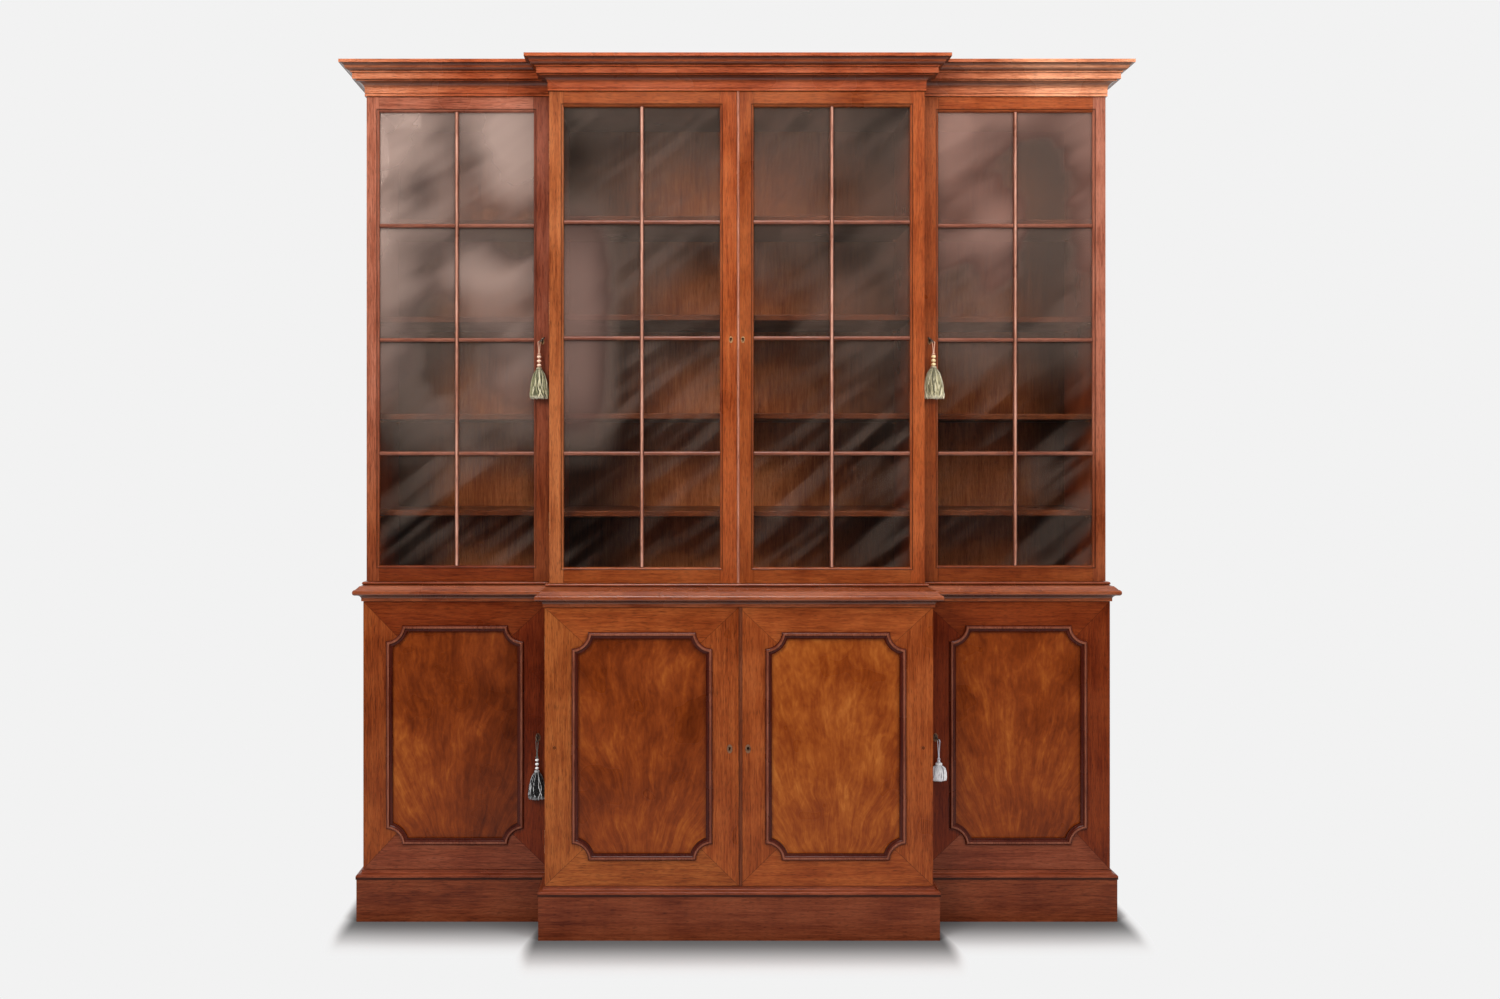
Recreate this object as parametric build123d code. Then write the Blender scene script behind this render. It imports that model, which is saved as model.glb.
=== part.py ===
from build123d import *
import os
from math import cos, radians, sin, sqrt

# A breakfront library bookcase, in millimetres. The front faces -Y and +Z is up.
# The origin is on the floor, at the middle of the width and of the depth.

# Plan of the cases
case_width = 2120.0
centre_width = 1060.0
lower_wing_depth = 400.0
lower_break = 150.0
wing_setback = 40.0
upper_break = 60.0

# Heights of the storeys
plinth_height = 119.5
plinth_moulding_height = 23.5
lower_door_space = 762.0
ledge_height = 43.0
surbase_height = 9.0
upper_door_space = 1391.0
cornice_height = 90.0

# Boards of the cases
end_thickness = 20.0
partition_thickness = 22.0
board_thickness = 18.0
back_thickness = 10.0
plinth_board_thickness = 24.0
plinth_bearer_width = 60.0
plinth_bearer_height = 25.0
ledge_board_thickness = 25.0
ledge_seat = 20.0
cornice_thickness = 20.0
back_boards_per_bay = 3
joint_clearance = 0.2

# Shelves and their pegs
shelf_thickness = 18.0
shelf_recess = 28.0
shelf_end_clearance = 1.0
shelf_nosing_radius = 4.0
upper_shelf_shares = (0.129, 0.334, 0.541, 0.748)
lower_shelf_shares = (0.48,)
peg_radius = 3.0
peg_depth = 8.0
peg_hole_depth = 9.0
peg_seat_gap = 0.05
peg_reach = 10.0
peg_clearance = 0.1
peg_inset = 40.0

# Clearances round the doors
door_back_gap = 0.6
door_end_clearance = 1.0
wing_edge_clearance = 1.5
meeting_clearance = 0.4

# Glazed doors
upper_door_thickness = 22.0
upper_wing_hinge_stile = 36.0
upper_wing_free_stile = 49.5
upper_centre_hinge_stile = 40.5
upper_centre_free_stile = 47.6
upper_top_rail = 42.0
upper_bottom_rail = 44.5
ovolo_width = 8.0
ovolo_quirk = 1.2
sight_fillet = 1.0
glass_depth = 12.0
glazing_rebate = 7.0
glass_thickness = 3.0
pane_clearance = 0.8
bar_half_width = 5.5
bar_round_height = 4.6
bar_face_depth = 3.2
bar_fin_half_width = 1.5
bar_fin_back_clearance = 2.0
upper_bar_shares = (0.247, 0.4975, 0.7495)
upright_bar_share = 0.5

# Panelled doors
lower_door_thickness = 24.0
lower_wing_hinge_margin = 65.5
lower_wing_free_margin = 73.0
lower_centre_hinge_margin = 73.5
lower_centre_free_margin = 71.6
lower_top_margin = 67.5
lower_bottom_margin = 70.0
mould_width = 18.0
mould_height = 8.0
mould_bead_width = 6.0
mould_hollow_width = 7.0
mould_fillet_width = 2.5
mould_inner_height = 2.0
mould_outer_height = 2.5
mould_seat = 9.0
mould_seat_clearance = 0.7
corner_radius = 45.0
panel_recess = 5.0
panel_lap = 8.0
panel_thickness = 9.0
panel_clearance = 0.5
mitre_reach_share = 1.0

# Meeting bead and plugs
upper_bead_width = 6.5
lower_bead_width = 9.5
bead_height = 3.0
plug_radius = 4.5
plug_depth = 8.0
plug_clearance = 0.1
plug_inset = 26.5
plug_height_share = 0.494

# Butt hinges
hinge_height = 64.0
hinge_leaf_width = 18.0
hinge_leaf_thickness = 1.6
knuckle_radius = 2.4
knuckle_offset = 0.6
knuckle_end_gap = 0.3
hinge_pin_radius = 1.2
hinge_pin_clearance = 0.05
leaf_clearance = 0.2
upper_hinge_shares = (0.12, 0.55, 0.88)
lower_hinge_shares = (0.15, 0.85)

# Locks
upper_lock_height_share = 0.4968
lower_lock_height_share = 0.4948
upper_wing_key_inset = 24.0
lower_wing_key_inset = 33.0
upper_centre_key_inset = 16.6
lower_centre_key_inset = 24.6
lock_height = 56.0
lock_thickness = 11.0
lock_wall = 1.2
lock_beyond_key = 13.0
bolt_thickness = 3.0
bolt_height = 12.5
bolt_above_key = 5.5
bolt_length = 30.0
bolt_slide_clearance = 0.3
bolt_retreat = 0.5
bolt_travel = 8.0
mortise_extra = 1.5
striker_thickness = 1.2
striker_margin = 7.0
striker_margin_front = 2.0

# Keys
key_shank_radius = 2.5
key_shank_clearance = 0.08
key_neck = 7.0
key_collar_radius = 3.6
key_collar_length = 2.0
key_bow_radius = 10.5
key_bow_wire_radius = 1.7
key_bit_reach = 6.5
key_bit_thickness = 2.2
key_bit_length = 3.4
key_end_clearance = 0.8
upper_key_angle = 222.0
lower_left_key_angle = 268.0
lower_right_key_angle = 305.0

# Keyhole escutcheons
escutcheon_thickness = 1.0
escutcheon_proud = 0.3
upper_escutcheon_half_width = 5.5
upper_escutcheon_half_height = 9.5
lower_escutcheon_half_width = 7.5
lower_escutcheon_half_height = 12.0
keyhole_radius = 3.1
keyhole_slot_half_width = 1.6
keyhole_slot_clearance = 0.8
wood_keyhole_clearance = 0.3

# Tassels: cord loop, knot, beads, bound head and skirt
cord_radius = 1.1
cord_gap = 0.25
knot_radius = 4.6
knot_height = 4.0
bead_flat_share = 0.45
skirt_shares = ((0, 0), (0.25, 0.4), (0.6, 0.72), (1, 1))
upper_drop = 31.0
upper_bead_radius = 6.5
upper_head_height = 12.0
upper_skirt_height = 80.0
upper_skirt_half_width = 29.0
upper_skirt_half_depth = 15.0
lower_left_drop = 42.0
lower_left_bead_radius = 5.5
lower_left_head_height = 10.0
lower_left_skirt_height = 78.0
lower_left_skirt_half_width = 23.5
lower_left_skirt_half_depth = 14.0
lower_right_drop = 49.0
lower_right_bead_radius = 4.4
lower_right_head_height = 8.0
lower_right_skirt_height = 44.0
lower_right_skirt_half_width = 20.5
lower_right_skirt_half_depth = 14.0
head_radius = 7.0
ruff_radius = 9.0
beads_per_tassel = 3

# Mouldings round the cases, as distances out from the case and up from their foot
plinth_board_projection = 16.0
plinth_moulding_projection = 18.0
plinth_top_projection = 3.5
plinth_fillet_height = 9.0
plinth_ogee_height = 9.5
ledge_nose_projection = 26.0
ledge_fillet_projection = 5.0
ledge_fillet_height = 9.0
ledge_cove_height = 8.5
ledge_cove_projection = 18.0
ledge_nose_height = 16.0
ledge_slope_projection = 9.0
surbase_projection = 11.0
cornice_bead_projection = 4.5
cornice_groove_height = 6.0
cornice_groove_depth = 2.5
cornice_groove_width = 2.0
cornice_frieze_height = 23.0
cornice_cove_height = 16.0
cornice_cove_projection = 21.0
cornice_cove_fillet_height = 3.5
cornice_cove_fillet_projection = 25.0
cornice_fascia_projection = 33.7
cornice_fascia_height = 17.0
cornice_step_height = 4.5
cornice_step_projection = 38.0
cornice_cyma_height = 17.0
cornice_cyma_foot_projection = 41.0
cornice_cyma_top_projection = 62.0
cornice_top_projection = 65.0

# How far an arc stands off its chord: a quarter round, and the flatter curves of the mouldings
quarter_share = (sqrt(2) - 1) / 2
mould_curve_share = 0.16
nose_round_share = 0.42

# One overrun for every cut
overrun = 5.0

# Levels and lines that follow
half_case = case_width / 2
half_centre = centre_width / 2
overall_depth = lower_wing_depth + lower_break + ledge_nose_projection
back = overall_depth / 2
inside_back = back - back_thickness
lower_wing_front = back - lower_wing_depth
lower_centre_front = lower_wing_front - lower_break
upper_wing_front = lower_wing_front + wing_setback
upper_centre_front = upper_wing_front - upper_break
plinth_top = plinth_height + plinth_moulding_height
ledge_bottom = plinth_top + lower_door_space
ledge_top = ledge_bottom + ledge_height
surbase_top = ledge_top + surbase_height
cornice_bottom = surbase_top + upper_door_space
overall_height = cornice_bottom + cornice_height

out_left = Vector(-1, 0, 0)
out_front = Vector(0, -1, 0)
up = Vector(0, 0, 1)
inward = Vector(0, 1, 0)
down = Vector(0, 0, -1)
right = Vector(1, 0, 0)
mirror_plane = Plane.YZ


def block(low, high):
    """A board between two opposite corners."""
    size = [b - a for a, b in zip(low, high)]
    middle = [(a + b) / 2 for a, b in zip(low, high)]
    return Pos(*middle) * Box(*size)


def outline(start, *steps):
    """A flat closed outline: a step is a point, or a pair of points for an arc through the first."""
    edges = []
    here = start
    for step in steps:
        if isinstance(step[0], tuple):
            edges.append(ThreePointArc(here, step[0], step[1]))
            here = step[1]
        else:
            edges.append(Line(here, step))
            here = step
    edges.append(Line(here, start))
    return make_face(edges)


def bulge(start, end, share):
    """An arc from start to end that stands off its chord, to the left, by a share of the chord."""
    middle_x = (start[0] + end[0]) / 2 - (end[1] - start[1]) * share
    middle_y = (start[1] + end[1]) / 2 + (end[0] - start[0]) * share
    return ((middle_x, middle_y), end)


def carried(profile, centre, across, rise, reach):
    """A profile drawn in across and rise, carried square to itself both ways from a centre."""
    plane = Plane(origin=centre, x_dir=across, z_dir=across.cross(rise))
    return extrude(plane * profile, amount=reach, both=True)


def upright_prism(points, low, high):
    """A plan outline raised from one level to another."""
    face = make_face(Polyline(*points, close=True))
    return extrude(Plane.XY.offset(low) * face, amount=high - low, dir=(0, 0, 1))


def facing_prism(points, front, depth):
    """An outline in X and Z, carried from a front line towards the back."""
    plane = Plane(origin=(0, front, 0), x_dir=(1, 0, 0), z_dir=(0, -1, 0))
    face = make_face(Polyline(*points, close=True))
    return extrude(plane * face, amount=-depth)


def solids_of(*shapes):
    """Every solid in a set of shapes."""
    found = []
    for shape in shapes:
        if isinstance(shape, (list, tuple)):
            found.extend(solids_of(*shape))
        else:
            found.extend(shape.solids())
    return found


def mirrored(shapes):
    """The same pieces on the other side of the bookcase."""
    return [mirror(shape, about=mirror_plane) for shape in solids_of(shapes)]


def both_sides(shapes):
    """Pieces and their mirror images."""
    return solids_of(shapes) + mirrored(shapes)


def write(name, shapes):
    """Write one named piece, or a group of like pieces, as one file."""
    compound = Compound(children=solids_of(shapes))
    compound.label = name
    export_step(compound, "parts/" + name + ".step")


def wall_runs(profile_of, inners, wing_front, centre_front, reach, foot, height):
    """The seven mitred lengths of a moulding: ends, wings, breaks and centre.

    inners gives how far an end, a wing, a break and the centre length run behind the case's face.
    """
    end_inner, wing_inner, break_inner, centre_inner = inners
    runs = (
        ((-half_case, back), (-half_case, wing_front), out_left, end_inner, 0, 1, wing_inner),
        ((-half_case, wing_front), (-half_centre, wing_front), out_front, wing_inner, 1, -1, 0),
        ((-half_centre, wing_front), (-half_centre, centre_front), out_left, break_inner, -1, 1,
         centre_inner),
    )
    left = [wall_run(profile_of(run[3]), *run, reach, foot, height) for run in runs]
    centre = wall_run(profile_of(centre_inner), (-half_centre, centre_front), (half_centre, centre_front),
                      out_front, centre_inner, 1, 1, 0, reach, foot, height)
    return both_sides(left) + solids_of(centre)


def wall_run(profile, start, end, out, inner, mitre_start, mitre_end, hold, reach, foot, height):
    """One length of moulding along the wall of a case.

    In front of the face its ends are mitred, outwards for 1 and inwards for -1. Behind the face they
    are square, and the far one stops short by hold, where another length crosses it.
    """
    first = Vector(*start, 0)
    last = Vector(*end, 0)
    along = (last - first).normalized()
    length = (last - first).length
    middle = (first + last) / 2 + up * foot
    bar = carried(profile, middle, out, up, length / 2 + reach + overrun)

    def place(distance, outwards):
        point = first + along * distance + out * outwards
        return (point.X, point.Y)

    plan = [place(0, 0), place(-mitre_start * reach, reach), place(length + mitre_end * reach, reach),
            place(length, 0)]
    if inner > 0:
        if hold > 0:
            plan.append(place(length - hold, 0))
        plan += [place(length - hold, -inner), place(0, -inner)]
    return bar & upright_prism(plan, foot, foot + height)


def plinth_board_profile(inner):
    """A plain board on edge."""
    face = plinth_board_projection
    behind = face - plinth_board_thickness
    return outline((behind, 0), (face, 0), (face, plinth_height), (behind, plinth_height))


def plinth_moulding_profile(inner):
    """A fillet, an ogee and a small top fillet."""
    foot = plinth_moulding_projection
    top = plinth_top_projection
    ogee_foot = (foot, plinth_fillet_height)
    ogee_top = (top, plinth_fillet_height + plinth_ogee_height)
    middle = ((foot + top) / 2, plinth_fillet_height + plinth_ogee_height / 2)
    return outline(
        (-inner, 0), (foot, 0), ogee_foot, bulge(ogee_foot, middle, -mould_curve_share),
        bulge(middle, ogee_top, mould_curve_share), (top, plinth_moulding_height),
        (-inner, plinth_moulding_height),
    )


def ledge_profile(inner):
    """A fillet and cove under a rounded nose, with a top that slopes back to a flat."""
    cove_foot = (ledge_fillet_projection, ledge_fillet_height)
    cove_top = (ledge_cove_projection, ledge_fillet_height + ledge_cove_height)
    nose_round = ledge_nose_height * nose_round_share
    nose_foot = (ledge_nose_projection - nose_round, cove_top[1])
    nose_top = (nose_foot[0], cove_top[1] + ledge_nose_height)
    nose_low = (ledge_nose_projection, nose_foot[1] + nose_round)
    nose_high = (ledge_nose_projection, nose_top[1] - nose_round)
    return outline(
        (-inner, 0), (ledge_fillet_projection, 0), cove_foot,
        bulge(cove_foot, cove_top, mould_curve_share),
        nose_foot, bulge(nose_foot, nose_low, -quarter_share), nose_high,
        bulge(nose_high, nose_top, -quarter_share),
        (ledge_slope_projection, ledge_height), (-inner, ledge_height),
    )


def surbase_profile(inner):
    """A half-round bead."""
    round_half = surbase_height / 2
    straight = surbase_projection - round_half
    nose = ((surbase_projection, round_half), (straight, surbase_height))
    return outline((-inner, 0), (straight, 0), nose, (-inner, surbase_height))


def cornice_profile(inner):
    """A grooved bead band, a cove, a fascia, a step, a cyma and a top fillet."""
    bead = cornice_bead_projection
    groove_in = bead - cornice_groove_depth
    groove_top = cornice_groove_height + cornice_groove_width
    cove_top = cornice_frieze_height + cornice_cove_height
    cove_fillet_top = cove_top + cornice_cove_fillet_height
    fascia_top = cove_fillet_top + cornice_fascia_height
    step_top = fascia_top + cornice_step_height
    cyma_top = step_top + cornice_cyma_height
    cyma_foot = (cornice_cyma_foot_projection, step_top)
    cyma_end = (cornice_cyma_top_projection, cyma_top)
    cyma_middle = ((cyma_foot[0] + cyma_end[0]) / 2, (cyma_foot[1] + cyma_end[1]) / 2)
    return outline(
        (-inner, 0), (bead, 0), (bead, cornice_groove_height), (groove_in, cornice_groove_height),
        (groove_in, groove_top), (bead, groove_top), (bead, cornice_frieze_height),
        bulge((bead, cornice_frieze_height), (cornice_cove_projection, cove_top), mould_curve_share),
        (cornice_cove_fillet_projection, cove_top), (cornice_cove_fillet_projection, cove_fillet_top),
        (cornice_fascia_projection, cove_fillet_top), (cornice_fascia_projection, fascia_top),
        (cornice_step_projection, fascia_top), (cornice_step_projection, step_top),
        cyma_foot, bulge(cyma_foot, cyma_middle, -mould_curve_share),
        bulge(cyma_middle, cyma_end, mould_curve_share),
        (cornice_top_projection, cyma_top), (cornice_top_projection, cornice_height),
        (-inner, cornice_height),
    )


def case_side(x_low, x_high, front_line, low, high):
    """An upright side, from its front edge to the back of the case."""
    return block((x_low, front_line, low), (x_high, back, high))


def bay_lines():
    """The clear width of the left wing's bay and of the centre bay."""
    wing = (-half_case + end_thickness, -half_centre - end_thickness)
    centre = (-half_centre + partition_thickness, half_centre - partition_thickness)
    return wing, centre


def storey_sides(wing_edge, centre_edge, low, high):
    """The three uprights of the left half: end, wing's inner side and centre's side."""
    wing, centre = bay_lines()
    return [
        case_side(-half_case, wing[0], wing_edge, low, high),
        case_side(wing[1], -half_centre, wing_edge, low, high),
        case_side(-half_centre, centre[0], centre_edge, low, high),
    ]


def bay_boards(wing_edge, centre_edge, low, high):
    """One level board in each bay, from the front edge to the back boards."""
    wing, centre = bay_lines()
    left = block((wing[0], wing_edge, low), (wing[1], inside_back, high))
    middle = block((centre[0], centre_edge, low), (centre[1], inside_back, high))
    return both_sides(left) + [middle]


def bay_backs(low, high):
    """Upright back boards, side by side in each bay."""
    wing, centre = bay_lines()
    left = []
    middle = []
    for count in range(back_boards_per_bay):
        for bay, boards in ((wing, left), (centre, middle)):
            step = (bay[1] - bay[0]) / back_boards_per_bay
            edge = bay[0] + step * count
            boards.append(block((edge, inside_back, low), (edge + step, back, high)))
    return both_sides(left) + middle


def shelf(bay, front_line, underside):
    """A shelf with a rounded front edge."""
    low = (bay[0] + shelf_end_clearance, front_line, underside)
    high = (bay[1] - shelf_end_clearance, inside_back, underside + shelf_thickness)
    board = block(low, high)
    front_edges = board.edges().filter_by(Axis.X).group_by(Axis.Y)[0]
    return fillet(front_edges, shelf_nosing_radius)


def pegs(bay, front_line, underside, radius, depth, ends):
    """Pegs under a shelf: ends picks the side of the bay, and each has one in front and one behind."""
    found = []
    for end in ends:
        face = bay[1] if end > 0 else bay[0]
        middle = face + end * (depth - peg_reach_of(radius)) / 2
        for line in (front_line + peg_inset, inside_back - peg_inset):
            peg = Cylinder(radius, depth + peg_reach_of(radius), rotation=(0, 90, 0))
            found.append(Pos(middle, line, underside - peg_radius - peg_seat_gap) * peg)
    return found


def peg_reach_of(radius):
    """A peg stands out under the shelf, and its hole runs out of the board by the overrun."""
    return peg_reach if radius == peg_radius else overrun


def shelf_levels(low, high, shares):
    """Undersides of the shelves between two levels."""
    return [low + (high - low) * share for share in shares]


def glazed_frame(x_edge, x_free, low, high, face, hinge_stile, free_stile):
    """Two stiles that run through and two rails, with an ovolo mitred at the corners."""
    x_in = x_edge + hinge_stile
    x_out = x_free - free_stile
    sill = low + upper_bottom_rail
    head = high - upper_top_rail
    turn = ovolo_width
    thick = upper_door_thickness
    middle_x = (x_in + x_out) / 2
    middle_z = (sill + head) / 2
    reach = high - low
    stile_plan = [
        (x_edge, low), (x_edge, high), (x_in - turn, high), (x_in - turn, head + turn), (x_in, head),
        (x_in, sill), (x_in - turn, sill - turn), (x_in - turn, low),
    ]
    free_plan = [
        (x_free, low), (x_free, high), (x_out + turn, high), (x_out + turn, head + turn), (x_out, head),
        (x_out, sill), (x_out + turn, sill - turn), (x_out + turn, low),
    ]
    top_plan = [
        (x_in - turn, high), (x_out + turn, high), (x_out + turn, head + turn), (x_out, head),
        (x_in, head), (x_in - turn, head + turn),
    ]
    foot_plan = [
        (x_in - turn, low), (x_out + turn, low), (x_out + turn, sill - turn), (x_out, sill),
        (x_in, sill), (x_in - turn, sill - turn),
    ]
    parts = []
    for plan, centre, out, width in (
        (stile_plan, (x_in, face, middle_z), out_left, hinge_stile),
        (free_plan, (x_out, face, middle_z), right, free_stile),
        (top_plan, (middle_x, face, head), up, upper_top_rail),
        (foot_plan, (middle_x, face, sill), down, upper_bottom_rail),
    ):
        bar = carried(glazed_frame_profile(width), centre, out, inward, reach)
        parts.append(bar & facing_prism(plan, face, thick))
    return solids_of(parts), (x_in, x_out, sill, head)


def glazed_frame_profile(width):
    """A stile or rail, outwards from the sight line and back from the face: ovolo, tongue, rebate."""
    tongue = ovolo_quirk + ovolo_width - sight_fillet
    return outline(
        (0, glass_depth), (0, tongue), (sight_fillet, tongue),
        bulge((sight_fillet, tongue), (ovolo_width, ovolo_quirk), -quarter_share),
        (ovolo_width, 0), (width, 0), (width, upper_door_thickness),
        (glazing_rebate, upper_door_thickness), (glazing_rebate, glass_depth),
    )


def glazing_bar_profile():
    """A rounded bar in front of the glass with a thin fin between the panes."""
    shoulder = bar_face_depth + bar_round_height
    fin_back = upper_door_thickness - bar_fin_back_clearance
    return outline(
        (-bar_half_width, glass_depth), (-bar_half_width, shoulder),
        ((0, bar_face_depth), (bar_half_width, shoulder)), (bar_half_width, glass_depth),
        (bar_fin_half_width, glass_depth), (bar_fin_half_width, fin_back),
        (-bar_fin_half_width, fin_back), (-bar_fin_half_width, glass_depth),
    )


def glazing_bars(sight, face):
    """One upright bar, and cross bars on each side of it."""
    x_in, x_out, sill, head = sight
    upright = x_in + (x_out - x_in) * upright_bar_share
    profile = glazing_bar_profile()
    bars = [carried(profile, Vector(upright, face, (sill + head) / 2), right, inward, (head - sill) / 2)]
    for share in upper_bar_shares:
        level = sill + (head - sill) * share
        for start, end in ((x_in, upright - bar_half_width), (upright + bar_half_width, x_out)):
            middle = Vector((start + end) / 2, face, level)
            bars.append(carried(profile, middle, up, inward, (end - start) / 2))
    return solids_of(bars)


def panes(sight, face):
    """Eight panes of glass, each in the rebate or against a bar's fin."""
    x_in, x_out, sill, head = sight
    upright = x_in + (x_out - x_in) * upright_bar_share
    rebate = glazing_rebate - pane_clearance
    fin = bar_fin_half_width + pane_clearance
    columns = ((x_in - rebate, upright - fin), (upright + fin, x_out + rebate))
    levels = [sill + (head - sill) * share for share in upper_bar_shares]
    lows = [sill - rebate] + [z + fin for z in levels]
    highs = [z - fin for z in levels] + [head + rebate]
    glass = face + glass_depth
    return [
        block((start, glass, low), (end, glass + glass_thickness, high))
        for start, end in columns for low, high in zip(lows, highs)
    ]


def panel_outline(rect, inset, front, depth):
    """A rectangle with re-entrant quarter rounds at its corners, inset from the moulding's outer edge."""
    x_low, x_high, low, high = rect
    radius = corner_radius + inset
    along = sqrt(radius * radius - inset * inset)
    slant = radius * sqrt(1 / 2)
    edges = []
    corners = ((x_low, low, 1, 1), (x_low, high, 1, -1), (x_high, high, -1, -1), (x_high, low, -1, 1))
    points = []
    for x, z, x_way, z_way in corners:
        flat = (x + x_way * along, z + z_way * inset)
        upright = (x + x_way * inset, z + z_way * along)
        middle = (x + x_way * slant, z + z_way * slant)
        first, last = (flat, upright) if x_way * z_way > 0 else (upright, flat)
        points.append((first, middle, last))
    for count, (first, middle, last) in enumerate(points):
        edges.append(ThreePointArc(first, middle, last))
        edges.append(Line(last, points[(count + 1) % len(points)][0]))
    plane = Plane(origin=(0, front, 0), x_dir=(1, 0, 0), z_dir=(0, -1, 0))
    return extrude(plane * make_face(edges), amount=-depth)


def panelled_frame(x_edge, x_free, low, high, face, rect):
    """Four boards mitred at the corners, rebated behind for the panel."""
    x_low, x_high, z_low, z_high = rect
    inset = mould_seat
    opening = (x_low + inset, x_high - inset, z_low + inset, z_high - inset)
    whole = block((x_edge, face, low), (x_free, face + lower_door_thickness, high))
    whole = whole - panel_outline(rect, inset, face - overrun, lower_door_thickness + overrun * 2)
    rebate_low = (opening[0] - panel_lap, face + panel_recess, opening[2] - panel_lap)
    rebate_high = (opening[1] + panel_lap, face + lower_door_thickness + overrun, opening[3] + panel_lap)
    whole = whole - block(rebate_low, rebate_high)
    outer = [(x_edge, low), (x_edge, high), (x_free, high), (x_free, low)]
    inner = [(opening[0], opening[2]), (opening[0], opening[3]), (opening[1], opening[3]),
             (opening[1], opening[2])]
    tips = [
        (b[0] + (b[0] - a[0]) * mitre_reach_share, b[1] + (b[1] - a[1]) * mitre_reach_share)
        for a, b in zip(outer, inner)
    ]
    boards = []
    for count in range(len(outer)):
        after = (count + 1) % len(outer)
        plan = [outer[count], outer[after], tips[after], tips[count]]
        boards += solids_of(whole & facing_prism(plan, face, lower_door_thickness))
    return boards, opening


def door_panel(opening, face):
    """The figured panel, in the rebate behind the frame."""
    lap = panel_lap - panel_clearance
    front_line = face + panel_recess
    return block((opening[0] - lap, front_line, opening[2] - lap),
                 (opening[1] + lap, front_line + panel_thickness, opening[3] + lap))


def panel_mould_profile():
    """Inwards from its outer edge and out from the face: a bead, a fillet and a hollow over the panel."""
    bead_end = (mould_bead_width, mould_height)
    hollow_start = (mould_width - mould_fillet_width - mould_hollow_width, mould_height)
    hollow_end = (mould_width - mould_fillet_width, mould_inner_height)
    step = mould_seat + mould_seat_clearance
    return outline(
        (0, 0), (0, mould_outer_height), bulge((0, mould_outer_height), bead_end, quarter_share),
        hollow_start, bulge(hollow_start, hollow_end, -mould_curve_share),
        (mould_width, mould_inner_height), (mould_width, -panel_recess), (step, -panel_recess), (step, 0),
    )


def panel_moulding(rect, face):
    """Four straight lengths and four re-entrant corner lengths, mitred together."""
    x_low, x_high, low, high = rect
    profile = panel_mould_profile()
    middle_x = (x_low + x_high) / 2
    middle_z = (low + high) / 2
    across = sqrt((corner_radius + mould_width) ** 2 - mould_width ** 2)
    depth = mould_height + panel_recess
    front_line = face - mould_height
    top_plan = [
        (x_low + corner_radius, high), (x_high - corner_radius, high),
        (x_high - across, high - mould_width), (x_low + across, high - mould_width),
    ]
    side_plan = [
        (x_low, low + corner_radius), (x_low, high - corner_radius),
        (x_low + mould_width, high - across), (x_low + mould_width, low + across),
    ]
    far = corner_radius + mould_width
    corner_plan = [
        (x_low, high), (x_low + corner_radius, high), (x_low + across, high - mould_width),
        (x_low + far, high - far), (x_low + mould_width, high - across), (x_low, high - corner_radius),
    ]
    top = carried(profile, Vector(middle_x, face, high), down, out_front, x_high - x_low)
    side = carried(profile, Vector(x_low, face, middle_z), right, out_front, high - low)
    plane = Plane(origin=(x_low, face, high - corner_radius), x_dir=down, z_dir=down.cross(out_front))
    turn = Axis((x_low, face, high), (0, -1, 0))
    corner = revolve(plane * profile, axis=turn, revolution_arc=90)
    top = top & facing_prism(top_plan, front_line, depth)
    side = side & facing_prism(side_plan, front_line, depth)
    corner = corner & facing_prism(corner_plan, front_line, depth)
    across_mirror = Plane.YZ.offset(middle_x)
    upright_mirror = Plane.XY.offset(middle_z)
    pieces = solids_of(top, side, corner)
    pieces += [mirror(top, about=upright_mirror), mirror(side, about=across_mirror)]
    lower_corner = mirror(corner, about=upright_mirror)
    pieces += [mirror(corner, about=across_mirror), lower_corner, mirror(lower_corner, about=across_mirror)]
    return solids_of(pieces)


def hinge(edge, joint_line, level):
    """One butt hinge: fixed leaf with its pin, door leaf with its knuckle, and the two housings."""
    half = hinge_height / 2
    third = hinge_height / 6
    gap = door_back_gap / 2
    pin_x = edge - knuckle_offset
    thirds = ((-half, -third), (-third, third), (third, half))

    def leaf(side, x_low, x_high, z_low, z_high):
        near = joint_line + side * gap
        far = joint_line + side * (gap + hinge_leaf_thickness)
        return block((x_low, min(near, far), level + z_low), (x_high, max(near, far), level + z_high))

    def barrel(radius, z_low, z_high):
        return Pos(pin_x, joint_line, level + (z_low + z_high) / 2) * Cylinder(radius, z_high - z_low)

    knuckle_bore = knuckle_radius + leaf_clearance
    fixed = leaf(1, edge, edge + hinge_leaf_width, -half, half) - barrel(knuckle_bore, *thirds[1])
    moving = leaf(-1, edge, edge + hinge_leaf_width, -half, half)
    for z_low, z_high in (thirds[0], thirds[2]):
        fixed = fixed + leaf(1, pin_x, edge, z_low, z_high) + barrel(knuckle_radius, z_low, z_high)
        moving = moving - barrel(knuckle_bore, z_low, z_high)
    fixed = fixed + barrel(hinge_pin_radius, -half, half)
    short = third - knuckle_end_gap
    moving = moving + leaf(-1, pin_x, edge, -short, short) + barrel(knuckle_radius, -short, short)
    moving = moving - barrel(hinge_pin_radius + hinge_pin_clearance, -half, half)
    housings = []
    for side in (1, -1):
        tall = half + leaf_clearance
        near = joint_line + side * (gap - overrun)
        far = joint_line + side * (gap + hinge_leaf_thickness)
        plate_seat = block(
            (edge - overrun, min(near, far), level - tall),
            (edge + hinge_leaf_width + leaf_clearance, max(near, far), level + tall),
        )
        housings.append(plate_seat + barrel(knuckle_bore, -tall, tall))
    return fixed, moving, housings[0], housings[1]


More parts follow.
